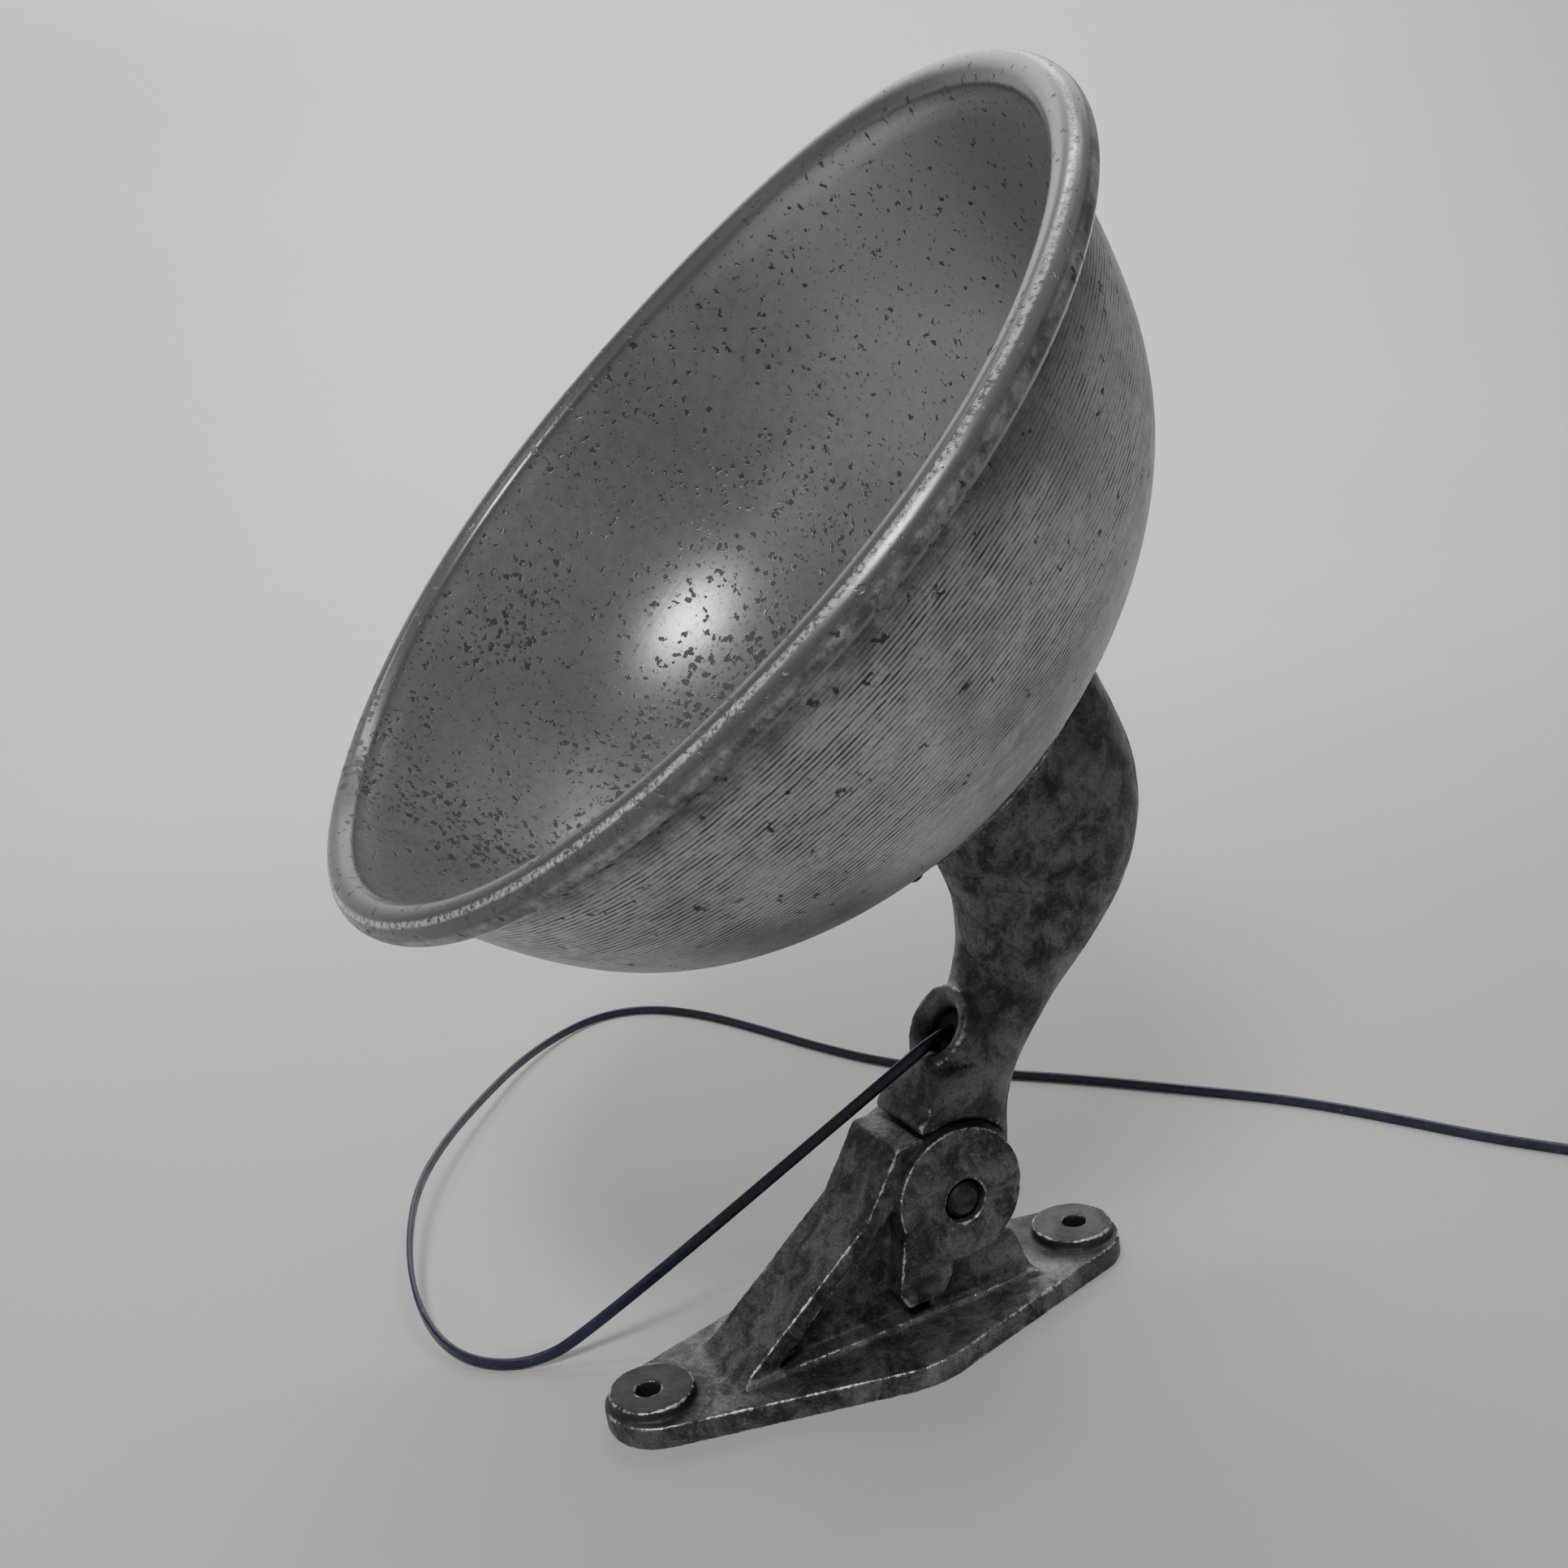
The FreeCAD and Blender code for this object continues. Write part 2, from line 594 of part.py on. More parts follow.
def make_wiring():
    insulated = 1.5
    for label, side, terminal in (("live_wire", 2.2, 11), ("neutral_wire", -2.2, -11)):
        top = HEAD.multVec(Vec(terminal, 0, -200.1))
        above = HEAD.multVec(Vec(terminal, side * 0.5, -212))
        behind_bush = gland_point(29, 0.5, side * 0.75)
        end = gland_point(17.4, 0.5, side * 0.75)
        points = [top, above, Vec(100, side, 196), Vec(93, side, 172), Vec(84, side, 150), behind_bush, end]
        swept_tube(label, [tuple(point) for point in points], insulated)
    bush = ring(size("gland_bore") - 0.05, size("flex_width") / 2, 9, Vec(0, 0, -17))
    bush_place = FreeCAD.Placement(GLAND_FACE, FreeCAD.Rotation(Vec(0, 0, 1), GLAND_AXIS))
    shape_feature("cord_bush", bush, bush_place)
    start = Vec(*CORD_START)
    run = start - Vec(*CORD_ROUTE[1])
    run.normalize()
    points = [gland_point(17, 0, 0), gland_point(7, 0, 0), start + run * 11, start]
    swept_tube("flex_entry", [tuple(point) for point in points], size("flex_width") / 2)


def make_cord():
    radius = size("flex_width") / 2
    swept_tube("flex_cord", CORD_ROUTE, radius)
    mean = size("coil_radius")
    width = size("flex_width")
    height = size("coil_layers") * width
    lift = Vec(0, 0, 1.2)
    coil = ring(mean + width, mean - width, height, COIL_CENTRE + lift)
    start, heading = tail_start()
    tail = Part.makeCylinder(radius, TAIL_LENGTH - 0.2, start, heading)
    shape_feature("flex_coil", coil.fuse(tail).removeSplitter())
    middle = COIL_CENTRE + Vec(mean, 0, 0)
    outer_box = Part.makeBox(2 * width + 2.4, 6, height + 2.2, middle + Vec(-width - 1.2, -3, 0.1))
    inner_box = Part.makeBox(2 * width + 0.6, 6, height + 0.2, middle + Vec(-width - 0.3, -3, 1.1))
    shape_feature("cord_tie", outer_box.cut(inner_box))


def make_plug():
    """A round two-pin plug lying on its side, where the cord's tail ends."""
    start, heading = tail_start()
    side = Vec(-heading.y, heading.x, 0)
    turn = FreeCAD.Rotation(side, Vec(0, 0, 1), heading, "ZXY")
    place = FreeCAD.Placement(start + heading * TAIL_LENGTH, turn)
    outline = [(0, 0), (5, 0), (6, 9), (12, 14), (16, 20), (16, 36), (14.5, 38), (0, 38)]
    face = 38
    pin_radius = 2.35
    body = turned("plug_body", outline, place)
    pins = new_sketch(body, "XY_Plane", face)
    for x in (-9.5, 9.5):
        add_circle(pins, x, 0, pin_radius + 0.05)
    pocket = add_pocket(body, pins, "Dims.flex_width")
    pocket.Label = "pin_sockets"
    blades = [cylinder(pin_radius, 24, Vec(x, 0, face - 5)) for x in (-9.5, 9.5)]
    shape_feature("plug_pins", Part.makeCompound(blades), place)


def export_parts():
    os.makedirs("parts", exist_ok=True)
    names = []
    for item in doc.Objects:
        is_piece = item.TypeId in ("PartDesign::Body", "Part::Feature")
        if {"Invalid", "Error"} & set(item.State):
            raise RuntimeError(f"{item.Label} is {item.State}")
        if is_piece:
            if item.Shape.isNull() or not item.Shape.isValid() or not item.Shape.Solids:
                raise RuntimeError(f"{item.Label} has no sound shape")
            item.Shape.exportStep(f"parts/{item.Label}.step")
            names.append(item.Label)
            print(f"{item.Label}: {len(item.Shape.Solids)} solid(s), {item.Shape.Volume / 1000:.1f} cm3")
    print(len(names), "nodes")


make_base_bracket()
make_hinge()
make_arm()
make_reflector()
make_head_fasteners()
make_lampholder()
make_wiring()
make_cord()
make_plug()
doc.recompute()
export_parts()
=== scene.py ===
import math

import bmesh
import bpy
import numpy as np
from mathutils import Matrix, Vector, noise


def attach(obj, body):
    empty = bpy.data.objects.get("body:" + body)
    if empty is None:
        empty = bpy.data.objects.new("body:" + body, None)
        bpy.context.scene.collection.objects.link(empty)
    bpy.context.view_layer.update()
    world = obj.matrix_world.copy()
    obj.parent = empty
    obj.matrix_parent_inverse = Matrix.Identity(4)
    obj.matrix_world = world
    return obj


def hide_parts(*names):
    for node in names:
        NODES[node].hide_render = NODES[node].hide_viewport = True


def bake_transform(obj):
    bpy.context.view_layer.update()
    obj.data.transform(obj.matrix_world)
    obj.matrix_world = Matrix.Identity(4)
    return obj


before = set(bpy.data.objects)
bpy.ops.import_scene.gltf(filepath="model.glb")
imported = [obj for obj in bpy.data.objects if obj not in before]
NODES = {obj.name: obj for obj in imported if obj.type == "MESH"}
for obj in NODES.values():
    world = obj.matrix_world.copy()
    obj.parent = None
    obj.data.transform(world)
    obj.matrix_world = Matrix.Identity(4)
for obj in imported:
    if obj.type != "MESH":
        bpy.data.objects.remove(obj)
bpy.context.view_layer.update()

MM = 0.001

# ---------------------------------------------------------------- frames of the model

# The bowl's own frame: its mouth's centre, X up the mouth, Z out of it.
TILT = math.radians(-42.3)
MOUTH = Vector((-0.045, 0.0, 0.3837))
BOWL_X = Vector((math.cos(TILT), 0, -math.sin(TILT)))
BOWL_Z = Vector((math.sin(TILT), 0, math.cos(TILT)))
HEAD = Matrix((
    (BOWL_X.x, 0, BOWL_Z.x, MOUTH.x),
    (0, 1, 0, MOUTH.y),
    (BOWL_X.z, 0, BOWL_Z.z, MOUTH.z),
    (0, 0, 0, 1),
))
GLAND_FACE = Vector((0.0483, 0, 0.1367))
GLAND_AXIS = Vector((-0.831, 0, 0.556)).normalized()


def frame_along(origin, axis):
    """A frame at origin whose Z runs along axis and whose X is level where it can be."""
    z = Vector(axis).normalized()
    side = Vector((0, 0, 1)).cross(z)
    x = side.normalized() if side.length > 1e-6 else Vector((1, 0, 0))
    y = z.cross(x)
    return Matrix((
        (x.x, y.x, z.x, origin[0]),
        (x.y, y.y, z.y, origin[1]),
        (x.z, y.z, z.z, origin[2]),
        (0, 0, 0, 1),
    ))


# ---------------------------------------------------------------- camera, stage and light

# Azimuth, elevation and roll of the camera in degrees. At azimuth 0 it looks along +Y.
CAMERA_TURN = (-22.835, 17.1, -8.373)
CAMERA_PLACE = Vector((-0.2935, -0.5907, 0.4211))
CAMERA_SENSOR = 36.0
CAMERA_LENS = 37.694
CAMERA_SHIFT = (0.04005, 0.06866)
# The sweep: its flat floor in front of the curve, the curve's radius, the wall above it, how far
# the floor runs back behind the camera and how far everything runs to each side.
FLOOR_AHEAD, CURVE_RADIUS, WALL_HEIGHT = 1.5, 1.1, 2.1
FLOOR_BEHIND, HALF_WIDTH = 30.0, 25.0
CURVE_STEPS = 16
# Each softbox: name, place, what it points at, size, power in watts and colour.
LIGHTS = (
    ("key", (-0.78, -1.02, 1.72), (0.0, 0.0, 0.30), (0.44, 0.38), 30, (1.0, 0.99, 0.97)),
    ("fill_left", (-2.0, -0.2, 0.8), (0.05, 0.0, 0.42), (2.2, 1.6), 4, (0.96, 0.98, 1.0)),
    ("top", (0.7, 0.5, 2.6), (0.1, 0.0, 0.1), (1.6, 1.6), 4, (0.98, 0.99, 1.0)),
    ("backdrop", (0.50, 1.0, 3.1), (0.95, 2.6, 2.2), (2.8, 0.7), 232, (1.0, 1.0, 1.0)),
)
SKY_COLOUR, SKY_STRENGTH = (0.82, 0.825, 0.83, 1), 0.205


def make_camera():
    """Place the camera, and return the direction from the object back to it."""
    azimuth, elevation, roll = (math.radians(turn) for turn in CAMERA_TURN)
    level = Vector((math.cos(azimuth), math.sin(azimuth), 0))
    back = Vector((math.sin(azimuth) * math.cos(elevation),
                   -math.cos(azimuth) * math.cos(elevation), math.sin(elevation)))
    upright = back.cross(level)
    right = level * math.cos(roll) + upright * math.sin(roll)
    up = upright * math.cos(roll) - level * math.sin(roll)
    data = bpy.data.cameras.new("camera")
    data.sensor_width = CAMERA_SENSOR
    data.lens = CAMERA_LENS
    data.shift_x, data.shift_y = CAMERA_SHIFT
    data.clip_start, data.clip_end = 0.01, 50
    camera = bpy.data.objects.new("camera", data)
    bpy.context.scene.collection.objects.link(camera)
    camera.matrix_world = Matrix((
        (right.x, up.x, back.x, CAMERA_PLACE.x),
        (right.y, up.y, back.y, CAMERA_PLACE.y),
        (right.z, up.z, back.z, CAMERA_PLACE.z),
        (0, 0, 0, 1),
    ))
    bpy.context.scene.camera = camera
    return back


def make_stage(back):
    """A pale sweep: a floor that curves up into a wall, away from the camera."""
    away = Vector((-back.x, -back.y, 0)).normalized()
    side = Vector((away.y, -away.x, 0))
    profile = [(-FLOOR_BEHIND, 0.0), (-2.0, 0.0), (0.0, 0.0), (FLOOR_AHEAD, 0.0)]
    for step in range(1, CURVE_STEPS + 1):
        angle = math.radians(90 * step / CURVE_STEPS)
        profile.append((FLOOR_AHEAD + CURVE_RADIUS * math.sin(angle), CURVE_RADIUS * (1 - math.cos(angle))))
    profile.append((FLOOR_AHEAD + CURVE_RADIUS, CURVE_RADIUS + WALL_HEIGHT))
    vertices = []
    for across in (-HALF_WIDTH, HALF_WIDTH):
        vertices += [away * along + side * across + Vector((0, 0, high)) for along, high in profile]
    count = len(profile)
    faces = [(i, i + 1, count + i + 1, count + i) for i in range(count - 1)]
    stage = mesh_object("stage", vertices, faces)
    stage.data.materials.append(paper_material())


def area_light(name, place, target, size, power, colour):
    data = bpy.data.lights.new(name, "AREA")
    data.shape = "RECTANGLE"
    data.size, data.size_y = size
    data.energy = power
    data.color = colour
    light = bpy.data.objects.new(name, data)
    bpy.context.scene.collection.objects.link(light)
    light.location = place
    aim = Vector(target) - Vector(place)
    light.rotation_mode = "QUATERNION"
    light.rotation_quaternion = aim.to_track_quat("-Z", "Y")


def make_lights():
    for light in LIGHTS:
        area_light(*light)
    world = bpy.data.worlds.new("studio")
    world.use_nodes = True
    sky = world.node_tree.nodes["Background"]
    sky.inputs["Color"].default_value = SKY_COLOUR
    sky.inputs["Strength"].default_value = SKY_STRENGTH
    bpy.context.scene.world = world


# ---------------------------------------------------------------- mesh helpers

def mesh_object(name, vertices, faces):
    mesh = bpy.data.meshes.new(name)
    mesh.from_pydata([tuple(v) for v in vertices], [], [tuple(f) for f in faces])
    mesh.update()
    mesh.polygons.foreach_set("use_smooth", [True] * len(mesh.polygons))
    piece = bpy.data.objects.new(name, mesh)
    bpy.context.scene.collection.objects.link(piece)
    return piece


def tube_faces(rows, count, closed):
    """The quads between rings of vertices that lie one after another, count in each ring."""
    faces = []
    for row in range(rows if closed else rows - 1):
        other = (row + 1) % rows
        for step in range(count):
            after = (step + 1) % count
            faces.append((row * count + step, row * count + after,
                          other * count + after, other * count + step))
    return faces


def soft_corners(corners, radius, steps):
    """A turned piece's outline through the corners, each inner corner rounded where it fits."""
    corners = [Vector((x, y, 0)) for x, y in corners]
    points = [corners[0]]
    for a, c, b in zip(corners, corners[1:], corners[2:]):
        into, out = (a - c), (b - c)
        reach = min(radius, into.length * 0.45, out.length * 0.45)
        start, end = c + into.normalized() * reach, c + out.normalized() * reach
        for step in range(steps + 1):
            t = step / steps
            points.append(start * (1 - t) ** 2 + c * (2 * t * (1 - t)) + end * t ** 2)
    points.append(corners[-1])
    return [(point.x, point.y) for point in points]


def lathe(name, profile, segments, place):
    """A turned solid: profile points are (radius, height) in mm, from one end of the axis on."""
    vertices, faces, rings = [], [], []
    for radius, height in profile:
        if radius < 1e-6:
            rings.append([len(vertices)])
            vertices.append(place @ Vector((0, 0, height * MM)))
            continue
        ring = []
        for step in range(segments):
            angle = 2 * math.pi * step / segments
            ring.append(len(vertices))
            vertices.append(place @ Vector((radius * math.cos(angle) * MM,
                                            radius * math.sin(angle) * MM, height * MM)))
        rings.append(ring)
    for low, high in zip(rings, rings[1:]):
        for step in range(segments):
            after = (step + 1) % segments
            if len(low) == 1 and len(high) > 1:
                faces.append((low[0], high[step], high[after]))
            elif len(high) == 1 and len(low) > 1:
                faces.append((low[step], low[after], high[0]))
            elif len(low) > 1:
                faces.append((low[step], low[after], high[after], high[step]))
    piece = mesh_object(name, vertices, faces)
    fix_normals(piece)
    return piece


def fix_normals(piece):
    work = bmesh.new()
    work.from_mesh(piece.data)
    bmesh.ops.recalc_face_normals(work, faces=work.faces)
    work.to_mesh(piece.data)
    work.free()


def join(name, pieces):
    """One object from several, in the row frame."""
    work = bmesh.new()
    for piece in pieces:
        part = piece.data.copy()
        part.transform(piece.matrix_world)
        work.from_mesh(part)
        bpy.data.meshes.remove(part)
    mesh = bpy.data.meshes.new(name)
    work.to_mesh(mesh)
    work.free()
    for piece in pieces:
        bpy.data.objects.remove(piece)
    mesh.polygons.foreach_set("use_smooth", [True] * len(mesh.polygons))
    joined = bpy.data.objects.new(name, mesh)
    bpy.context.scene.collection.objects.link(joined)
    return joined


def apply_modifiers(piece):
    graph = bpy.context.evaluated_depsgraph_get()
    graph.update()
    mesh = bpy.data.meshes.new_from_object(piece.evaluated_get(graph))
    piece.modifiers.clear()
    piece.data = mesh


def cad_copy(node):
    piece = bpy.data.objects.new(f"{node}_copy", NODES[node].data.copy())
    bpy.context.scene.collection.objects.link(piece)
    return piece


def natural_spline(knots, count):
    """Evenly spaced points of a natural cubic spline through 2-D knots."""
    knots = np.array(knots, float)
    s = np.concatenate([[0], np.cumsum(np.linalg.norm(np.diff(knots, axis=0), axis=1))])
    size = len(knots)
    h = np.diff(s)
    system = np.zeros((size, size))
    right = np.zeros((size, knots.shape[1]))
    system[0, 0] = system[-1, -1] = 1
    for i in range(1, size - 1):
        system[i, i - 1], system[i, i], system[i, i + 1] = h[i - 1], 2 * (h[i - 1] + h[i]), h[i]
        right[i] = 6 * ((knots[i + 1] - knots[i]) / h[i] - (knots[i] - knots[i - 1]) / h[i - 1])
    second = np.linalg.solve(system, right)
    at = np.linspace(0, s[-1], count)
    k = np.clip(np.searchsorted(s, at) - 1, 0, size - 2)
    a, b, w = (s[k + 1] - at)[:, None], (at - s[k])[:, None], h[k][:, None]
    return ((second[k] * a ** 3 + second[k + 1] * b ** 3) / (6 * w)
            + (knots[k] / w - second[k] * w / 6) * a + (knots[k + 1] / w - second[k + 1] * w / 6) * b)


# ---------------------------------------------------------------- materials

def new_material(name):
    material = bpy.data.materials.new(name)
    material.use_nodes = True
    tree = material.node_tree
    return material, tree, tree.nodes["Principled BSDF"]


def add(tree, kind, settings=None, inputs=None):
    node = tree.nodes.new(kind)
    for name, value in (settings or {}).items():
        setattr(node, name, value)
    for key, value in (inputs or {}).items():
        if isinstance(value, bpy.types.NodeSocket):
            tree.links.new(value, node.inputs[key])
        else:
            node.inputs[key].default_value = value
    return node


def place_of(tree):
    coordinates = add(tree, "ShaderNodeTexCoord")
    return add(tree, "ShaderNodeMapping", None, {"Vector": coordinates.outputs["Object"]}).outputs["Vector"]


def noise_of(tree, where, scale, detail=4.0, rough=0.55, twist=0.0):
    node = add(tree, "ShaderNodeTexNoise", None,
               {"Vector": where, "Scale": scale, "Detail": detail, "Roughness": rough, "Distortion": twist})
    return node.outputs["Fac"]


def cells_of(tree, where, scale):
    node = add(tree, "ShaderNodeTexVoronoi", {"feature": "F1"}, {"Vector": where, "Scale": scale})
    return node.outputs["Distance"]


def spread_to(tree, value, low, high, to_low=0.0, to_high=1.0):
    """Map low..high smoothly to to_low..to_high, and hold the ends beyond them."""
    node = add(tree, "ShaderNodeMapRange", {"interpolation_type": "SMOOTHSTEP"},
               {"Value": value, "From Min": low, "From Max": high, "To Min": to_low, "To Max": to_high})
    return node.outputs["Result"]


def maths(tree, operation, first, second):
    node = add(tree, "ShaderNodeMath", {"operation": operation}, {0: first, 1: second})
    return node.outputs[0]


def product(tree, first, *others):
    for other in others:
        first = maths(tree, "MULTIPLY", first, other)
    return first


def blend_colour(tree, factor, first, second):
    node = add(tree, "ShaderNodeMix", {"data_type": "RGBA", "blend_type": "MIX"},
               {0: factor, 6: first, 7: second})
    return node.outputs[2]


def bump_of(tree, height, distance, strength=1.0, below=None):
    node = add(tree, "ShaderNodeBump", None, {"Height": height, "Distance": distance, "Strength": strength})
    if below is not None:
        tree.links.new(below, node.inputs["Normal"])
    return node.outputs["Normal"]


def attribute_of(tree, name, output="Fac"):
    return add(tree, "ShaderNodeAttribute", {"attribute_name": name}).outputs[output]


def grey(value, warm=0.0):
    """A grey, a little warmer where warm is above 0."""
    return (value * (1 + warm), value, value * (1 - warm), 1)


def paper_material():
    material, tree, shader = new_material("pale_paper")
    where = place_of(tree)
    tone = blend_colour(tree, noise_of(tree, where, 3.0, 2),
                        (0.430, 0.430, 0.422, 1), (0.458, 0.458, 0.450, 1))
    tree.links.new(tone, shader.inputs["Base Color"])
    shader.inputs["Roughness"].default_value = 0.85
    tree.links.new(bump_of(tree, noise_of(tree, where, 900, 2), 0.00005, 0.4), shader.inputs["Normal"])
    return material


def cast_material(name, dark, mid, bright, gloss):
    """Old cast aluminium: a mottled dark skin, pale where the edges are rubbed and lightened there as a
    painted highlight, grainy all over.
    """
    material, tree, shader = new_material(name)
    where = place_of(tree)
    blotch = noise_of(tree, where, 70, 7, 0.68, 0.5)
    cloud = noise_of(tree, where, 19, 5, 0.62, 0.8)
    speck = noise_of(tree, where, 620, 4, 0.75)
    tone = blend_colour(tree, spread_to(tree, blotch, 0.38, 0.64), dark, mid)
    tone = blend_colour(tree, spread_to(tree, cloud, 0.50, 0.70, 0, 0.55), tone, bright)
    tone = blend_colour(tree, spread_to(tree, speck, 0.55, 0.70, 0, 0.5), tone, bright)
    tone = blend_colour(tree, spread_to(tree, speck, 0.46, 0.32, 0, 0.85), tone, (0.006, 0.006, 0.006, 1))
    edges = add(tree, "ShaderNodeNewGeometry").outputs["Pointiness"]
    wander = spread_to(tree, noise_of(tree, where, 130, 6, 0.75), 0.3, 0.7, -0.028, 0.022)
    # Painted shade on the bosses, where the casting's attribute marks it.
    tone = blend_colour(tree, product(tree, attribute_of(tree, "boss_painted_shade"), 0.92), tone, dark)
    # The edges: rubbed pale, and lightened further as a painted highlight.
    rubbed_and_highlit = spread_to(tree, maths(tree, "ADD", edges, wander), 0.526, 0.556)
    tone = blend_colour(tree, product(tree, rubbed_and_highlit, 0.92), tone, (0.70, 0.70, 0.69, 1))
    hollows = spread_to(tree, edges, 0.490, 0.455)
    tone = blend_colour(tree, product(tree, hollows, 0.8), tone, (0.010, 0.010, 0.010, 1))
    tree.links.new(tone, shader.inputs["Base Color"])
    shader.inputs["Metallic"].default_value = 0.7
    roughness = maths(tree, "SUBTRACT", spread_to(tree, blotch, 0.3, 0.7, gloss + 0.14, gloss - 0.04),
                       product(tree, rubbed_and_highlit, 0.20))
    tree.links.new(roughness, shader.inputs["Roughness"])
    grain = bump_of(tree, noise_of(tree, where, 700, 5, 0.75), 0.0004, 0.6)
    pits = spread_to(tree, cells_of(tree, where, 300), 0.08, 0.22)
    pitted = bump_of(tree, pits, 0.0003, 0.5, grain)
    lumps = bump_of(tree, noise_of(tree, where, 110, 4, 0.6), 0.0014, 0.5, pitted)
    tree.links.new(lumps, shader.inputs["Normal"])
    return material


def pits_of(tree, where, scale, size, soft, dense):
    """Ragged little pits, 1 inside and 0 outside, larger where dense is higher."""
    swirl = add(tree, "ShaderNodeTexNoise", None, {"Vector": where, "Scale": scale * 2.2, "Detail": 3.0})
    ragged = add(tree, "ShaderNodeVectorMath", {"operation": "SCALE"},
                 {0: swirl.outputs["Color"], "Scale": 1.1 / scale})
    bent = add(tree, "ShaderNodeVectorMath", {"operation": "ADD"}, {0: where, 1: ragged.outputs[0]})
    near = maths(tree, "SUBTRACT", cells_of(tree, bent.outputs[0], scale), dense)
    return spread_to(tree, near, size + soft, size)


def bowl_inside_material():
    """The reflecting side: satin grey, painted lighter at its top as a painted reflection, with many small
    dark pits low down, and a bead whose front is rubbed bright and carries a painted highlight."""
    material, tree, shader = new_material("bowl_inside")
    where = place_of(tree)
    cloud = noise_of(tree, where, 8, 5, 0.6, 0.5)
    fine = noise_of(tree, where, 210, 5, 0.7)
    tone = blend_colour(tree, spread_to(tree, cloud, 0.35, 0.68), grey(0.165, 0.012), grey(0.225, 0.012))
    tone = blend_colour(tree, spread_to(tree, fine, 0.38, 0.70, 0, 0.35), tone, grey(0.11, 0.03))
    # The top of the inside is painted lighter: a painted reflection.
    top_painted_reflection = spread_to(tree, attribute_of(tree, "low"), 0.37, 0.16, 0, 0.95)
    tone = blend_colour(tree, top_painted_reflection, tone, grey(0.40, 0.012))
    clusters = spread_to(tree, noise_of(tree, where, 13, 4, 0.6), 0.38, 0.66)
    low = spread_to(tree, attribute_of(tree, "low"), 0.16, 0.76)
    dense = product(tree, low, clusters, 0.17)
    small = pits_of(tree, where, 165, 0.125, 0.09, dense)
    large = pits_of(tree, where, 92, 0.02, 0.09, dense)
    pitted = maths(tree, "MAXIMUM", small, large)
    specks = pits_of(tree, where, 300, 0.10, 0.12, dense)
    tone = blend_colour(tree, product(tree, pitted, 0.80), tone, grey(0.026, 0.05))
    tone = blend_colour(tree, product(tree, specks, 0.62), tone, grey(0.035, 0.05))
    bead = product(tree, spread_to(tree, attribute_of(tree, "rim"), 0.0, 0.3), 0.80)
    tone = blend_colour(tree, bead, tone, grey(0.095, 0.0))
    # The bead's front: rubbed bright, with a painted highlight at the angle where the key light reflects.
    rubbed_and_highlit = product(tree, spread_to(tree, attribute_of(tree, "rub_and_highlight"), 0.25, 0.85),
                    spread_to(tree, noise_of(tree, where, 520, 6, 0.8), 0.42, 0.56))
    tone = blend_colour(tree, product(tree, rubbed_and_highlit, 0.9), tone, grey(0.62, 0.0))
    tree.links.new(tone, shader.inputs["Base Color"])
    shader.inputs["Metallic"].default_value = 0.42
    rough = spread_to(tree, cloud, 0.3, 0.7, 0.30, 0.24)
    rough = maths(tree, "ADD", rough, product(tree, pitted, 0.3))
    rough = maths(tree, "SUBTRACT", rough, product(tree, rubbed_and_highlit, 0.08))
    tree.links.new(rough, shader.inputs["Roughness"])
    turned = noise_of(tree, attribute_of(tree, "lathe", "Vector"), 1.0, 3, 0.6)
    marks = bump_of(tree, turned, 0.00005, 0.5)
    grain = bump_of(tree, fine, 0.00010, 0.5, marks)
    sunk = bump_of(tree, maths(tree, "SUBTRACT", 1.0, pitted), 0.00025, 0.7, grain)
    wavy = bump_of(tree, noise_of(tree, where, 30, 2, 0.5), 0.0006, 0.3, sunk)
    tree.links.new(wavy, shader.inputs["Normal"])
    return material


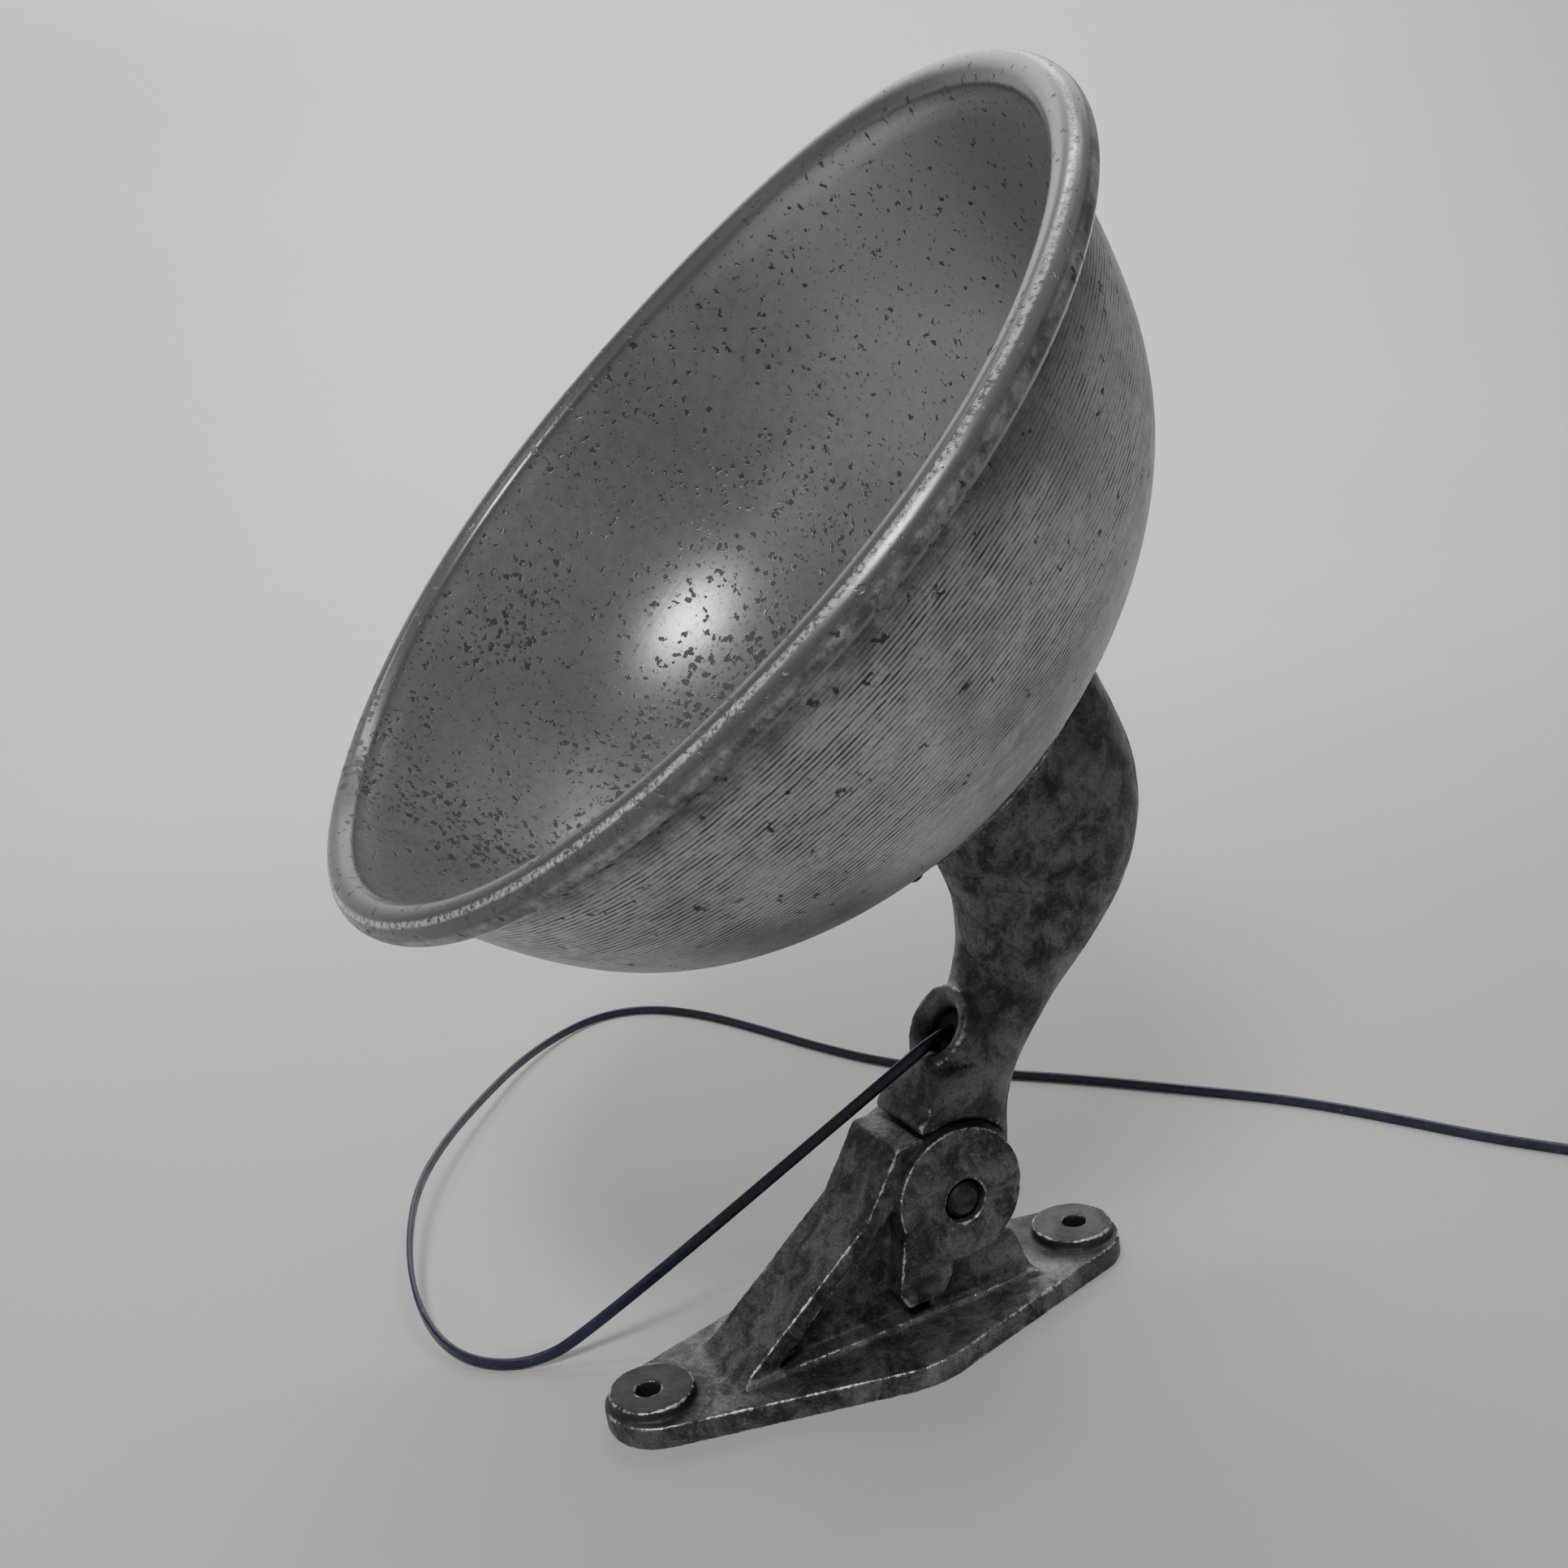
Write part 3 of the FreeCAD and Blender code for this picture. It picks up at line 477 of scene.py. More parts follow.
def bowl_outside_material():
    """The spun back: fine turning ridges in a wide band, water stains, and dirt behind the bead."""
    material, tree, shader = new_material("bowl_outside")
    where = place_of(tree)
    cloud = noise_of(tree, where, 17, 6, 0.68)
    stain = noise_of(tree, where, 62, 7, 0.72)
    fine = noise_of(tree, where, 380, 5, 0.75)
    tone = blend_colour(tree, spread_to(tree, cloud, 0.36, 0.66), grey(0.25, 0.01), grey(0.50, 0.01))
    tone = blend_colour(tree, spread_to(tree, stain, 0.48, 0.64, 0, 0.7), tone, grey(0.46, 0.0))
    tone = blend_colour(tree, spread_to(tree, fine, 0.50, 0.68, 0, 0.45), tone, grey(0.06, 0.03))
    # The lower half near the pole is dull, and painted dark as painted shade.
    lower = spread_to(tree, attribute_of(tree, "low"), 0.44, 0.74, 0.12)
    underside_painted_shade = product(tree, attribute_of(tree, "pole"), lower)
    tone = blend_colour(tree, product(tree, underside_painted_shade, 0.92), tone, grey(0.060, 0.0))
    # The turning ridges: their valleys are darkened and their crests lightened, and both are worn away in
    # places.
    drift = product(tree, noise_of(tree, where, 38, 4, 0.65), 5.0)
    turns = product(tree, attribute_of(tree, "run"), 2 * math.pi / RIDGE_PITCH)
    phase = maths(tree, "ADD", turns, drift)
    wave = add(tree, "ShaderNodeMath", {"operation": "SINE"}, {0: phase}).outputs[0]
    streaks = add(tree, "ShaderNodeMapping", None, {"Vector": attribute_of(tree, "lathe", "Vector")})
    streaks.inputs["Scale"].default_value = (0.9, 26, 26)
    broken = spread_to(tree, noise_of(tree, streaks.outputs["Vector"], 1.0, 5, 0.7), 0.40, 0.60)
    clear = spread_to(tree, noise_of(tree, where, 24, 5, 0.7), 0.34, 0.56, 0.30, 1.0)
    band = attribute_of(tree, "band")
    valley = product(tree, spread_to(tree, wave, 0.15, 0.9), band, broken, clear)
    tone = blend_colour(tree, product(tree, valley, 0.95), tone, grey(0.030, 0.03))
    crest = product(tree, spread_to(tree, wave, 0.1, -0.8), band, clear)
    tone = blend_colour(tree, product(tree, crest, 0.5), tone, grey(0.58, 0.0))
    pitted = pits_of(tree, where, 88, 0.075, 0.09, 0.0)
    tone = blend_colour(tree, product(tree, pitted, 0.85), tone, grey(0.02, 0.05))
    bead = product(tree, spread_to(tree, attribute_of(tree, "rim"), 0.0, 0.25), 0.72)
    tone = blend_colour(tree, bead, tone, grey(0.085, 0.0))
    patchy = spread_to(tree, noise_of(tree, where, 85, 6, 0.75), 0.34, 0.62, 0.2, 1.0)
    seam = product(tree, attribute_of(tree, "seam"), patchy)
    tone = blend_colour(tree, product(tree, seam, 0.85), tone, grey(0.04, 0.03))
    tree.links.new(tone, shader.inputs["Base Color"])
    shader.inputs["Metallic"].default_value = 0.5
    rough = maths(tree, "ADD", spread_to(tree, cloud, 0.3, 0.7, 0.44, 0.34),
                   product(tree, valley, 0.20))
    tree.links.new(rough, shader.inputs["Roughness"])
    marks = bump_of(tree, product(tree, valley, -1.0), 0.00022, 0.8)
    grain = bump_of(tree, fine, 0.00016, 0.5, marks)
    sunk = bump_of(tree, maths(tree, "SUBTRACT", 1.0, pitted), 0.0003, 0.7, grain)
    wavy = bump_of(tree, noise_of(tree, where, 42, 3, 0.5), 0.0007, 0.3, sunk)
    tree.links.new(wavy, shader.inputs["Normal"])
    return material


def steel_material(name, bright, rust, gloss, metallic):
    material, tree, shader = new_material(name)
    where = place_of(tree)
    patch = noise_of(tree, where, 170, 5, 0.65)
    tone = blend_colour(tree, spread_to(tree, patch, 0.38, 0.66), bright, rust)
    tone = blend_colour(tree, spread_to(tree, noise_of(tree, where, 900, 3), 0.55, 0.75, 0, 0.5), tone,
                        (bright[0] * 0.3, bright[1] * 0.3, bright[2] * 0.3, 1))
    tree.links.new(tone, shader.inputs["Base Color"])
    shader.inputs["Metallic"].default_value = metallic
    tree.links.new(spread_to(tree, patch, 0.3, 0.7, gloss, gloss + 0.25), shader.inputs["Roughness"])
    tree.links.new(bump_of(tree, noise_of(tree, where, 1100, 4, 0.7), 0.0001, 0.5), shader.inputs["Normal"])
    return material


def moulded_material(name, colour, worn, gloss, grain, coat):
    """Plastic, rubber, fibre or porcelain: a soft colour drift, a fine grain and dusty patches."""
    material, tree, shader = new_material(name)
    where = place_of(tree)
    drift = noise_of(tree, where, 60, 4, 0.6)
    tone = blend_colour(tree, spread_to(tree, drift, 0.35, 0.7), colour, worn)
    tone = blend_colour(tree, spread_to(tree, noise_of(tree, where, 480, 3, 0.7), 0.58, 0.74, 0, 0.25), tone,
                        (0.30, 0.29, 0.27, 1))
    tree.links.new(tone, shader.inputs["Base Color"])
    tree.links.new(spread_to(tree, drift, 0.3, 0.7, gloss, gloss + 0.16), shader.inputs["Roughness"])
    shader.inputs["Coat Weight"].default_value = coat
    shader.inputs["Coat Roughness"].default_value = 0.12
    tree.links.new(bump_of(tree, noise_of(tree, where, 1300, 3, 0.6), 0.0001, grain), shader.inputs["Normal"])
    return material


# ---------------------------------------------------------------- the flex and its plug

# The flex's route in mm: inside the arm up to the gland, then from the gland over the floor.
ENTRY = [(62.4, 0, 127.2), (54.1, 0, 132.8), (42.6, -1.8, 130.0)]
ROUTE = [
    (34.1, 1.5, 123.8), (-121, 62.5, 10.6), (-143, 70, 3.2), (-161, 81, 3.2), (-173, 99, 5), (-178, 124, 9),
    (-176, 157, 15), (-165, 201, 20), (-146, 250, 22), (-116, 301, 20), (-76, 357, 15), (-34, 411, 9),
    (8, 449, 4.5), (45, 464, 3.2), (77, 450, 3.2), (101, 411, 3.2), (118, 360, 3.2), (134, 302, 3.2),
    (155, 246, 3.2), (189, 196, 3.2), (229, 146, 3.2), (263, 95, 3.2), (295, 48, 3.2), (316, 1, 3.2),
    (334, -46, 3.2), (352, -80, 3.2), (368, -108, 3.2),
]
# The coil of spare flex, and the angle where it starts and ends. The tail is the straight length
# from the coil to the plug, and LOOSE is how far the turns wander in and out.
COIL_CENTRE = Vector((398, -94, 0))
COIL_LEAVES = math.radians(205)
TAIL_LENGTH = 26.0
PLUG_HEIGHT = 16.2
LOOSE = 0.35
# Radius and height of each turn of the coil, from the floor up.
TURNS = [(34.9, 4.1), (29.1, 4.1), (29.1, 9.9), (34.9, 9.9), (34.9, 15.7)]
TURN_POINTS = 18


def coil_points():
    """The five turns, each eased into the next over the last sixth of a turn."""
    points = []
    for turn, (radius, height) in enumerate(TURNS):
        after = TURNS[min(turn + 1, len(TURNS) - 1)]
        for step in range(1, TURN_POINTS + 1):
            share = step / TURN_POINTS
            ease = min(max((share - 5 / 6) * 6, 0), 1)
            angle = COIL_LEAVES + 2 * math.pi * share
            reach = radius + (after[0] - radius) * ease + LOOSE * math.sin(3 * angle + turn * 1.7)
            high = height + (after[1] - height) * ease
            points.append((COIL_CENTRE.x + reach * math.cos(angle),
                           COIL_CENTRE.y + reach * math.sin(angle), high))
    return points


def tail_frame():
    """Where the cord leaves the coil's top outer turn, and its direction there."""
    spoke = Vector((math.cos(COIL_LEAVES), math.sin(COIL_LEAVES), 0))
    heading = Vector((-spoke.y, spoke.x, 0))
    return COIL_CENTRE + spoke * TURNS[-1][0], heading


def cord_line():
    """The flex's centreline, read from the one spline that its points control."""
    start, heading = tail_frame()
    top = TURNS[-1][1]
    tail = []
    for along in (9, 18, TAIL_LENGTH, TAIL_LENGTH + 4):
        spot = start + heading * along
        tail.append((spot.x, spot.y, top + (PLUG_HEIGHT - top) * min(along / TAIL_LENGTH, 1)))
    points = ENTRY + ROUTE + coil_points() + tail
    curve = bpy.data.curves.new("cord_line", "CURVE")
    curve.dimensions = "3D"
    spline = curve.splines.new("NURBS")
    spline.points.add(len(points) - 1)
    for control, point in zip(spline.points, points):
        control.co = (point[0] * MM, point[1] * MM, point[2] * MM, 1)
    spline.order_u = 3
    spline.use_endpoint_u = True
    spline.resolution_u = 10
    holder = bpy.data.objects.new("cord_line", curve)
    bpy.context.scene.collection.objects.link(holder)
    graph = bpy.context.evaluated_depsgraph_get()
    mesh = bpy.data.meshes.new_from_object(holder.evaluated_get(graph))
    line = [v.co.copy() for v in mesh.vertices]
    bpy.data.objects.remove(holder)
    bpy.data.meshes.remove(mesh)
    return line


# The flat flex: half its width, the radius of each core's sheath, and the groove between them, its
# height as a share of that radius.
FLEX_HALF_WIDTH = 2.85
CORE_RADIUS = 1.62
GROOVE_HALF_WIDTH, GROOVE_HEIGHT = 0.35, 0.80


def flex_section():
    """Two round cores side by side in one sheath with a shallow groove between them, as
    (along, across) in mm."""
    middle = FLEX_HALF_WIDTH - CORE_RADIUS
    points = []
    for side in (1, -1):
        for step in range(7):
            angle = math.radians(-60 + 20 * step) + (0 if side == 1 else math.pi)
            points.append((side * middle + CORE_RADIUS * math.cos(angle), CORE_RADIUS * math.sin(angle)))
        points.append((GROOVE_HALF_WIDTH * side, side * CORE_RADIUS * GROOVE_HEIGHT))
        points.append((-GROOVE_HALF_WIDTH * side, side * CORE_RADIUS * GROOVE_HEIGHT))
    return points


def make_cord(sheath):
    """The flex as one closed mesh along its centreline, its wide side upright, and that line."""
    line = cord_line()
    section = flex_section()
    count = len(section)
    vertices = []
    for index, point in enumerate(line):
        tangent = (line[min(index + 1, len(line) - 1)] - line[max(index - 1, 0)]).normalized()
        wide = Vector((0, 0, 1)) - tangent * tangent.z
        wide.normalize()
        thin = tangent.cross(wide)
        for along, across in section:
            vertices.append(point + (wide * along + thin * across) * MM)
    faces = tube_faces(len(line), count, False)
    faces.append(tuple(range(count)))
    faces.append(tuple((len(line) - 1) * count + step for step in range(count)))
    cord = mesh_object("flex", vertices, faces)
    fix_normals(cord)
    cord.data.materials.append(sheath)
    return cord, line


# The strap round the coil: where its middle is from the coil's centre, the half sizes and the
# corner radius of its loop, and its own section as (along the cord, out).
TIE_PLACE = Vector((32, 0, 9.9))
TIE_HALF_WIDTH, TIE_HALF_HEIGHT, TIE_CORNER = 6.6, 9.4, 3.4
TIE_SECTION = ((-2.8, 0.0), (-2.3, 0.38), (-0.8, 0.44), (0.8, 0.44),
               (2.3, 0.38), (2.8, 0.0), (2.3, -0.25), (-2.3, -0.25))


def make_tie(black):
    """A strap round the coil's section, rounded at its corners."""
    corners = []
    for x, z, first in ((1, 1, 0), (-1, 1, 90), (-1, -1, 180), (1, -1, 270)):
        for step in range(7):
            angle = math.radians(first + 15 * step)
            corners.append((x * (TIE_HALF_WIDTH - TIE_CORNER) + TIE_CORNER * math.cos(angle),
                            z * (TIE_HALF_HEIGHT - TIE_CORNER) + TIE_CORNER * math.sin(angle)))
    vertices = []
    for x, z in corners:
        out = Vector((x, 0, z)).normalized()
        for y, lift in TIE_SECTION:
            vertices.append((COIL_CENTRE + TIE_PLACE + Vector((x, y, z)) + out * lift) * MM)
    tie = mesh_object("coil_tie", vertices, tube_faces(len(corners), len(TIE_SECTION), True))
    fix_normals(tie)
    tie.data.materials.append(black)
    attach(tie, "base")
    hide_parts("cord_tie")
    return tie


# The plug's outline as (radius, distance from the flex's entry) in mm: the sleeve, then the body,
# with a ribbed grip round its middle and two round pins.
SLEEVE = [(0, 0.2), (4.2, 0.2), (5.0, 1.0), (5.1, 3.0), (5.4, 3.6), (5.4, 5.4), (5.7, 6.0), (5.9, 8.6)]
PLUG_CORNERS = [(5.9, 8.7), (12.0, 13.8), (15.9, 20.0), (15.9, 36.0), (14.5, 37.9), (0.2, 37.9)]
GRIP_START, GRIP_END, GRIP_RIBS, GRIP_DEPTH = 20.5, 33.5, 24, 0.28
PIN_OFFSET = 9.5
PIN_OUTLINE = [(0, 33.5), (2.3, 33.5), (2.35, 38.0), (2.35, 54.6), (2.2, 55.8), (1.6, 56.7),
               (0.8, 56.98), (0, 57)]


def make_plug(moulding, brass):
    """A round two-pin plug lying on its side at the end of the flex."""
    start, heading = tail_frame()
    entry = (start + heading * TAIL_LENGTH) * MM
    entry.z = PLUG_HEIGHT * MM
    place = frame_along(entry, heading)
    profile = SLEEVE + soft_corners(PLUG_CORNERS, 3.0, 6) + [(0, 37.9)]
    body = lathe("plug_moulding", profile, 96, place)
    work = bmesh.new()
    work.from_mesh(body.data)
    back = place.inverted()
    for vertex in work.verts:
        local = back @ vertex.co
        along, reach = local.z / MM, math.hypot(local.x, local.y) / MM
        if GRIP_START < along < GRIP_END and reach > 10:
            ease = min((along - GRIP_START) / 3, (GRIP_END - along) / 3, 1)
            rib = GRIP_DEPTH * (math.cos(GRIP_RIBS * math.atan2(local.y, local.x)) - 1) * ease
            local.x *= 1 + rib / reach
            local.y *= 1 + rib / reach
            vertex.co = place @ local
    work.to_mesh(body.data)
    work.free()
    body.data.materials.append(moulding)
    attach(body, "base")
    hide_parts("plug_body")
    pins = []
    for side in (-PIN_OFFSET, PIN_OFFSET):
        pins.append(lathe("pin", PIN_OUTLINE, 32, place @ Matrix.Translation(Vector((side * MM, 0, 0)))))
    prongs = join("plug_prongs", pins)
    prongs.data.materials.append(brass)
    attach(prongs, "base")
    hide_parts("plug_pins")
    return body, prongs


# ---------------------------------------------------------------- the bowl

# Knots on the outside of the wall as (radius, depth below the mouth), in mm.
BOWL_OUTSIDE = [(184.6, 8), (176, 47), (158.5, 89), (126, 124.5), (89, 147.5), (46, 162.8), (24, 166.6)]
BOWL_WALL = 2.0
# The rolled bead: the radius that its middle runs on, its own radius and its sheet.
BEAD_RING, BEAD_RADIUS, BEAD_WALL = 192.3, 7.5, 1.6
# The inside's skin runs over the bead's front, this far out from its middle. The bead is rubbed
# bright and carries a painted highlight round one angle of its section, where 0 is outermost and 90 the
# front.
FRONT_SKIN, RUB_HIGHLIGHT_ANGLE, RUB_HIGHLIGHT_SPREAD = 6.9, 57, 11
RIDGE_PITCH, RIDGE_HEIGHT = 1.9, 0.06
SEGMENTS = 320
# How far the top of the rim is bent out of the mouth and to the side.
RIM_BEND, RIM_SWAY = 6.5, 2.5


def bowl_profile():
    """The bowl's section as (radius, depth, kind), from the pole hole up the inside, round the bead
    and back down the outside. Kind 0 is the inside wall, 1 the bead's skin, 2 the bead's hollow and
    3 the outside wall."""
    outside = natural_spline(BOWL_OUTSIDE, 480)
    slope = np.gradient(outside, axis=0)
    slope /= np.linalg.norm(slope, axis=1)[:, None]
    normal = np.stack([-slope[:, 1], slope[:, 0]], axis=1)
    if (normal[0] @ np.array([1.0, 0.0])) > 0:
        normal = -normal
    inside = (outside + normal * BOWL_WALL)[::5]
    points = [(r, t, 0) for r, t in inside[::-1]]
    points.append((BEAD_RING - BEAD_RADIUS - 0.9, 3.5, 0))
    for step in range(0, 45):
        angle = math.radians(180 - 7 * step)
        inner_line = 0.25 * math.exp(-((step - 6) / 1.2) ** 2)
        reach = BEAD_RADIUS - inner_line
        points.append((BEAD_RING + reach * math.cos(angle), -reach * math.sin(angle), 1))
    for step in range(44, -1, -2):
        angle = math.radians(180 - 7 * step)
        reach = BEAD_RADIUS - BEAD_WALL
        points.append((BEAD_RING + reach * math.cos(angle), -reach * math.sin(angle), 2))
    points += [(r, t, 3) for r, t in outside]
    return points


def make_bowl(inside_skin, outside_skin):
    """The spun bowl as one closed sheet, a little out of shape, with the values its skins read."""
    profile = bowl_profile()
    count = len(profile)
    run = np.concatenate([[0], np.cumsum([math.dist(a[:2], b[:2]) for a, b in zip(profile, profile[1:])])])
    angles = 2 * np.pi * np.arange(SEGMENTS) / SEGMENTS
    cos, sin = np.cos(angles), np.sin(angles)
    radius, depth, kind = (np.array(column) for column in zip(*profile))
    # Spinning ridges on the outside, strongest half way down and gone near the rim and the pole.
    band = np.clip((depth - 12) / 12, 0, 1) * np.clip((122 - depth) / 34, 0, 1)
    ridge = -RIDGE_HEIGHT * np.sin(run / RIDGE_PITCH * 2 * np.pi + 1.7) * band * (kind == 3)
    # A bowl that is no longer quite round, with a rim that is no longer quite flat.
    out_of_round = 0.5 * np.sin(2 * angles + 0.6) + 0.35 * np.sin(3 * angles + 2.1) + 0.2 * np.sin(7 * angles)
    near_rim = np.clip(1 - depth / 120, 0, 1)[:, None] ** 1.5
    # Each point's place in the bowl's frame in mm: p up the mouth, y across it, t down from it.
    reach = radius[:, None] + ridge[:, None] * (1 + 0.35 * np.sin(5 * angles + 0.7)) + out_of_round * near_rim
    p = reach * cos
    y = reach * sin
    t = depth[:, None] + near_rim * (0.5 * np.sin(3 * angles + 0.4) + 0.3 * np.sin(5 * angles + 1.9))
    # The rim is bent forward a little at its top.
    turn = np.minimum(angles, 2 * np.pi - angles)
    bent = np.exp(-(turn / math.radians(38)) ** 2) * np.exp(-(np.maximum(depth, 0)[:, None] / 55) ** 2)
    t = t - RIM_BEND * bent
    y = y + RIM_SWAY * bent
    local = np.stack([p, y, -t], axis=-1).reshape(-1, 3) * MM
    axes = np.array([[BOWL_X.x, 0, BOWL_Z.x], [0, 1, 0], [BOWL_X.z, 0, BOWL_Z.z]])
    world = local @ axes.T + np.array(MOUTH)
    bowl = mesh_object("bowl", world.tolist(), tube_faces(count, SEGMENTS, True))
    mesh = bowl.data
    mesh.materials.append(inside_skin)
    mesh.materials.append(outside_skin)
    front = (kind == 0) | ((kind == 1) & (radius < BEAD_RING + FRONT_SKIN))
    mesh.polygons.foreach_set("material_index", np.repeat(np.where(front, 0, 1), SEGMENTS).astype(np.int32))
    fix_normals(bowl)
    lathe_marks = mesh.attributes.new("lathe", "FLOAT_VECTOR", "POINT")
    marks = np.stack([np.repeat(run[:, None], SEGMENTS, axis=1) * 0.55, p / 260, y / 260], axis=-1)
    lathe_marks.data.foreach_set("vector", marks.reshape(-1).astype(np.float32))
    # What the skins need to know of each ring of points, as one number from 0 to 1, and the length
    # run along the section in mm.
    around = np.degrees(np.arctan2(-depth, radius - BEAD_RING))
    drawn = {
        "rim": np.clip(-depth / BEAD_RADIUS, 0, 1) * (kind == 1),
        "seam": np.clip((depth + 5) / 5, 0, 1) * np.clip((24 - depth) / 12, 0, 1) * (kind != 0),
        "band": band * (kind == 3),
        "run": run,
        # The bead's rubbed band, placed where it carries the painted highlight.
        "rub_and_highlight": np.exp(-((around - RUB_HIGHLIGHT_ANGLE) / RUB_HIGHLIGHT_SPREAD) ** 2) * (kind == 1),
        "pole": np.clip((depth - 58) / 60, 0, 1) * (kind == 3),
    }
    for name, value in drawn.items():
        attribute = mesh.attributes.new(name, "FLOAT", "POINT")
        attribute.data.foreach_set("value", np.repeat(value, SEGMENTS).astype(np.float32))
    # How far down the leaning bowl a point lies, from 0 at the top of the mouth to 1.
    low = mesh.attributes.new("low", "FLOAT", "POINT")
    lowness = (-p * 0.75 + y * 0.25) / 190 * 0.5 + 0.5
    low.data.foreach_set("value", lowness.reshape(-1).astype(np.float32))
    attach(bowl, "head")
    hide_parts("reflector_bowl")


# ---------------------------------------------------------------- the castings

# How far from the gland's axis its boss reaches, in mm.
GLAND_REACH = 22.5
# The neck's soft root, where the gland, the stop block and the tongue's shoulder meet, in mm.
NECK_ROOT = ((30, -26, 101.0), (75, 26, 126))
# The pattern's marks on the near ear, in mm: a ring of small balls, and two low ones with their
# centre, radius and flatness.
RING_CENTRE, RING_RADIUS, RING_BALLS = (60.4, -25.0, 53.5), 2.5, 14
EAR_MARKS = (((49.5, -24.6, 42.6), 3.0, 0.35), ((35.0, -24.2, 36.5), 1.7, 0.6))
# Where painted shade lies on the bracket: the middle of each boss, how dark it is made, and how far the
# painted shade reaches in mm.
SHADED_BOSSES = ((Vector((-0.1109, 0, 0.0155)), 1.0, 28), (Vector((0.1109, 0, 0.0155)), 0.85, 34))
SHADE_EDGE = 9


def smooth(work, vertices, rounds):
    for _ in range(rounds):
        bmesh.ops.smooth_vert(work, verts=vertices, factor=0.5,
                              use_axis_x=True, use_axis_y=True, use_axis_z=True)


def cast_skin(piece, voxel, rounds, amplitude, scale, softer=None):
    """One closed casting: its corners filleted and its skin slightly lumpy. Inside softer, a box
    between two corners, the fillets are much larger, except on the gland."""
    remesh = piece.modifiers.new("remesh", "REMESH")
    remesh.mode = "VOXEL"
    remesh.voxel_size = voxel
    remesh.use_smooth_shade = True
    apply_modifiers(piece)
    work = bmesh.new()
    work.from_mesh(piece.data)
    smooth(work, work.verts, rounds)
    if softer:
        low, high = (Vector(corner) * MM for corner in softer)
        inside = []
        for vertex in work.verts:
            apart = vertex.co - GLAND_FACE
            clear = (apart - GLAND_AXIS * apart.dot(GLAND_AXIS)).length > GLAND_REACH * MM
            if clear and all(low[i] < vertex.co[i] < high[i] for i in range(3)):
                inside.append(vertex)
        smooth(work, inside, 60)
    work.normal_update()
    for vertex in work.verts:
        spot = vertex.co / scale
        lump = noise.noise(spot) + 0.5 * noise.noise(spot * 2.3 + Vector((7, 3, 1)))
        vertex.co += vertex.normal * (lump * amplitude)
    work.to_mesh(piece.data)
    work.free()
    piece.data.polygons.foreach_set("use_smooth", [True] * len(piece.data.polygons))


def ball(centre, radius, flatness):
    """A small ball on the ear's face, flattened along Y."""
    profile = []
    for step in range(9):
        angle = math.radians(-90 + 22.5 * step)
        profile.append((radius * math.cos(angle) if 0 < step < 8 else 0, radius * flatness * math.sin(angle)))
    return lathe("mark", profile, 20, frame_along(Vector(centre) * MM, (0, 1, 0)))


def make_bracket(skin):
    """The base casting with the pattern's small marks on its near ear, and painted shade on its bosses."""
    pieces = [cad_copy("base_bracket")]
    x, y, z = RING_CENTRE
    for step in range(RING_BALLS):
        angle = 2 * math.pi * step / RING_BALLS
        spot = (x + RING_RADIUS * math.cos(angle), y, z + RING_RADIUS * math.sin(angle))
        pieces.append(ball(spot, 1.0, 0.7))
    pieces += [ball(*mark) for mark in EAR_MARKS]
    bracket = join("bracket_casting", pieces)
    cast_skin(bracket, 0.95 * MM, 3, 0.00022, 0.011)
    # Painted shade round each boss, fading out towards the edge of its reach.
    darkening = [max(share * min(max((reach - (vertex.co - boss).length / MM) / SHADE_EDGE, 0), 1)
                for boss, share, reach in SHADED_BOSSES) for vertex in bracket.data.vertices]
    bracket.data.attributes.new("boss_painted_shade", "FLOAT", "POINT").data.foreach_set("value", darkening)
    bracket.data.materials.append(skin)
    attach(bracket, "base")
    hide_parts("base_bracket")


def make_arm(skin):
    """The goose neck with its flange, gland, stop block and tongue, in one casting."""
    arm = join("arm_skin", [cad_copy("arm_casting")])
    cast_skin(arm, 1.15 * MM, 6, 0.00028, 0.014, NECK_ROOT)
    arm.data.materials.append(skin)
    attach(arm, "head")
    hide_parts("arm_casting")


# ---------------------------------------------------------------- small parts

# The lampholder's screw shell, in mm: where it starts and ends down the bowl's axis, its two
# radii, and its thread.
SHELL_TOP, SHELL_END = 152.0, 185.0
SHELL_OUTER, SHELL_INNER, SHELL_SEGMENTS = 14.85, 14.15, 72
THREAD_PITCH, THREAD_DEPTH = 3.6, 0.7
# Half sections of the porcelain and of the gland's bush as (radius, height along the axis).
HOLDER_CORNERS = [(0, -190.2), (14.9, -190.2), (14.9, -149.6), (23.4, -149.6), (24.4, -151.5), (24.4, -161.4),
                  (21.4, -161.8), (21.4, -195.8), (0, -195.8)]
BUSH_CORNERS = [(2.95, -8.2), (2.95, -16.8), (10.2, -16.8), (10.2, -9.0), (8.6, -8.1), (4.6, -8.1),
                (2.95, -8.2)]


def threaded_shell(brass):
    """The screw shell, with the rounded thread that a lamp cap has."""
    heights = np.linspace(SHELL_TOP + 0.3, SHELL_END - 0.3, 110)
    rows = [(height, SHELL_OUTER) for height in heights] + [(height, SHELL_INNER) for height in heights[::-1]]
    vertices = []
    for height, radius in rows:
        ease = min((height - SHELL_TOP) / 3, (SHELL_END - height) / 3, 1)
        for step in range(SHELL_SEGMENTS):
            angle = 2 * math.pi * step / SHELL_SEGMENTS
            thread = THREAD_DEPTH * 0.5 * (math.cos(2 * math.pi * height / THREAD_PITCH - angle) - 1) * ease
            reach = radius + thread
            vertices.append(HEAD @ (Vector((reach * math.cos(angle), reach * math.sin(angle), -height)) * MM))
    shell = mesh_object("screw_shell", vertices, tube_faces(len(rows), SHELL_SEGMENTS, True))
    fix_normals(shell)
    shell.data.materials.append(brass)
    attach(shell, "head")
    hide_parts("lamp_screw_shell")


def porcelain_holder(glaze):
    holder = lathe("porcelain_body", soft_corners(HOLDER_CORNERS, 1.2, 5), 96, HEAD)
    holder.data.materials.append(glaze)
    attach(holder, "head")
    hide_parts("lampholder_insulator")


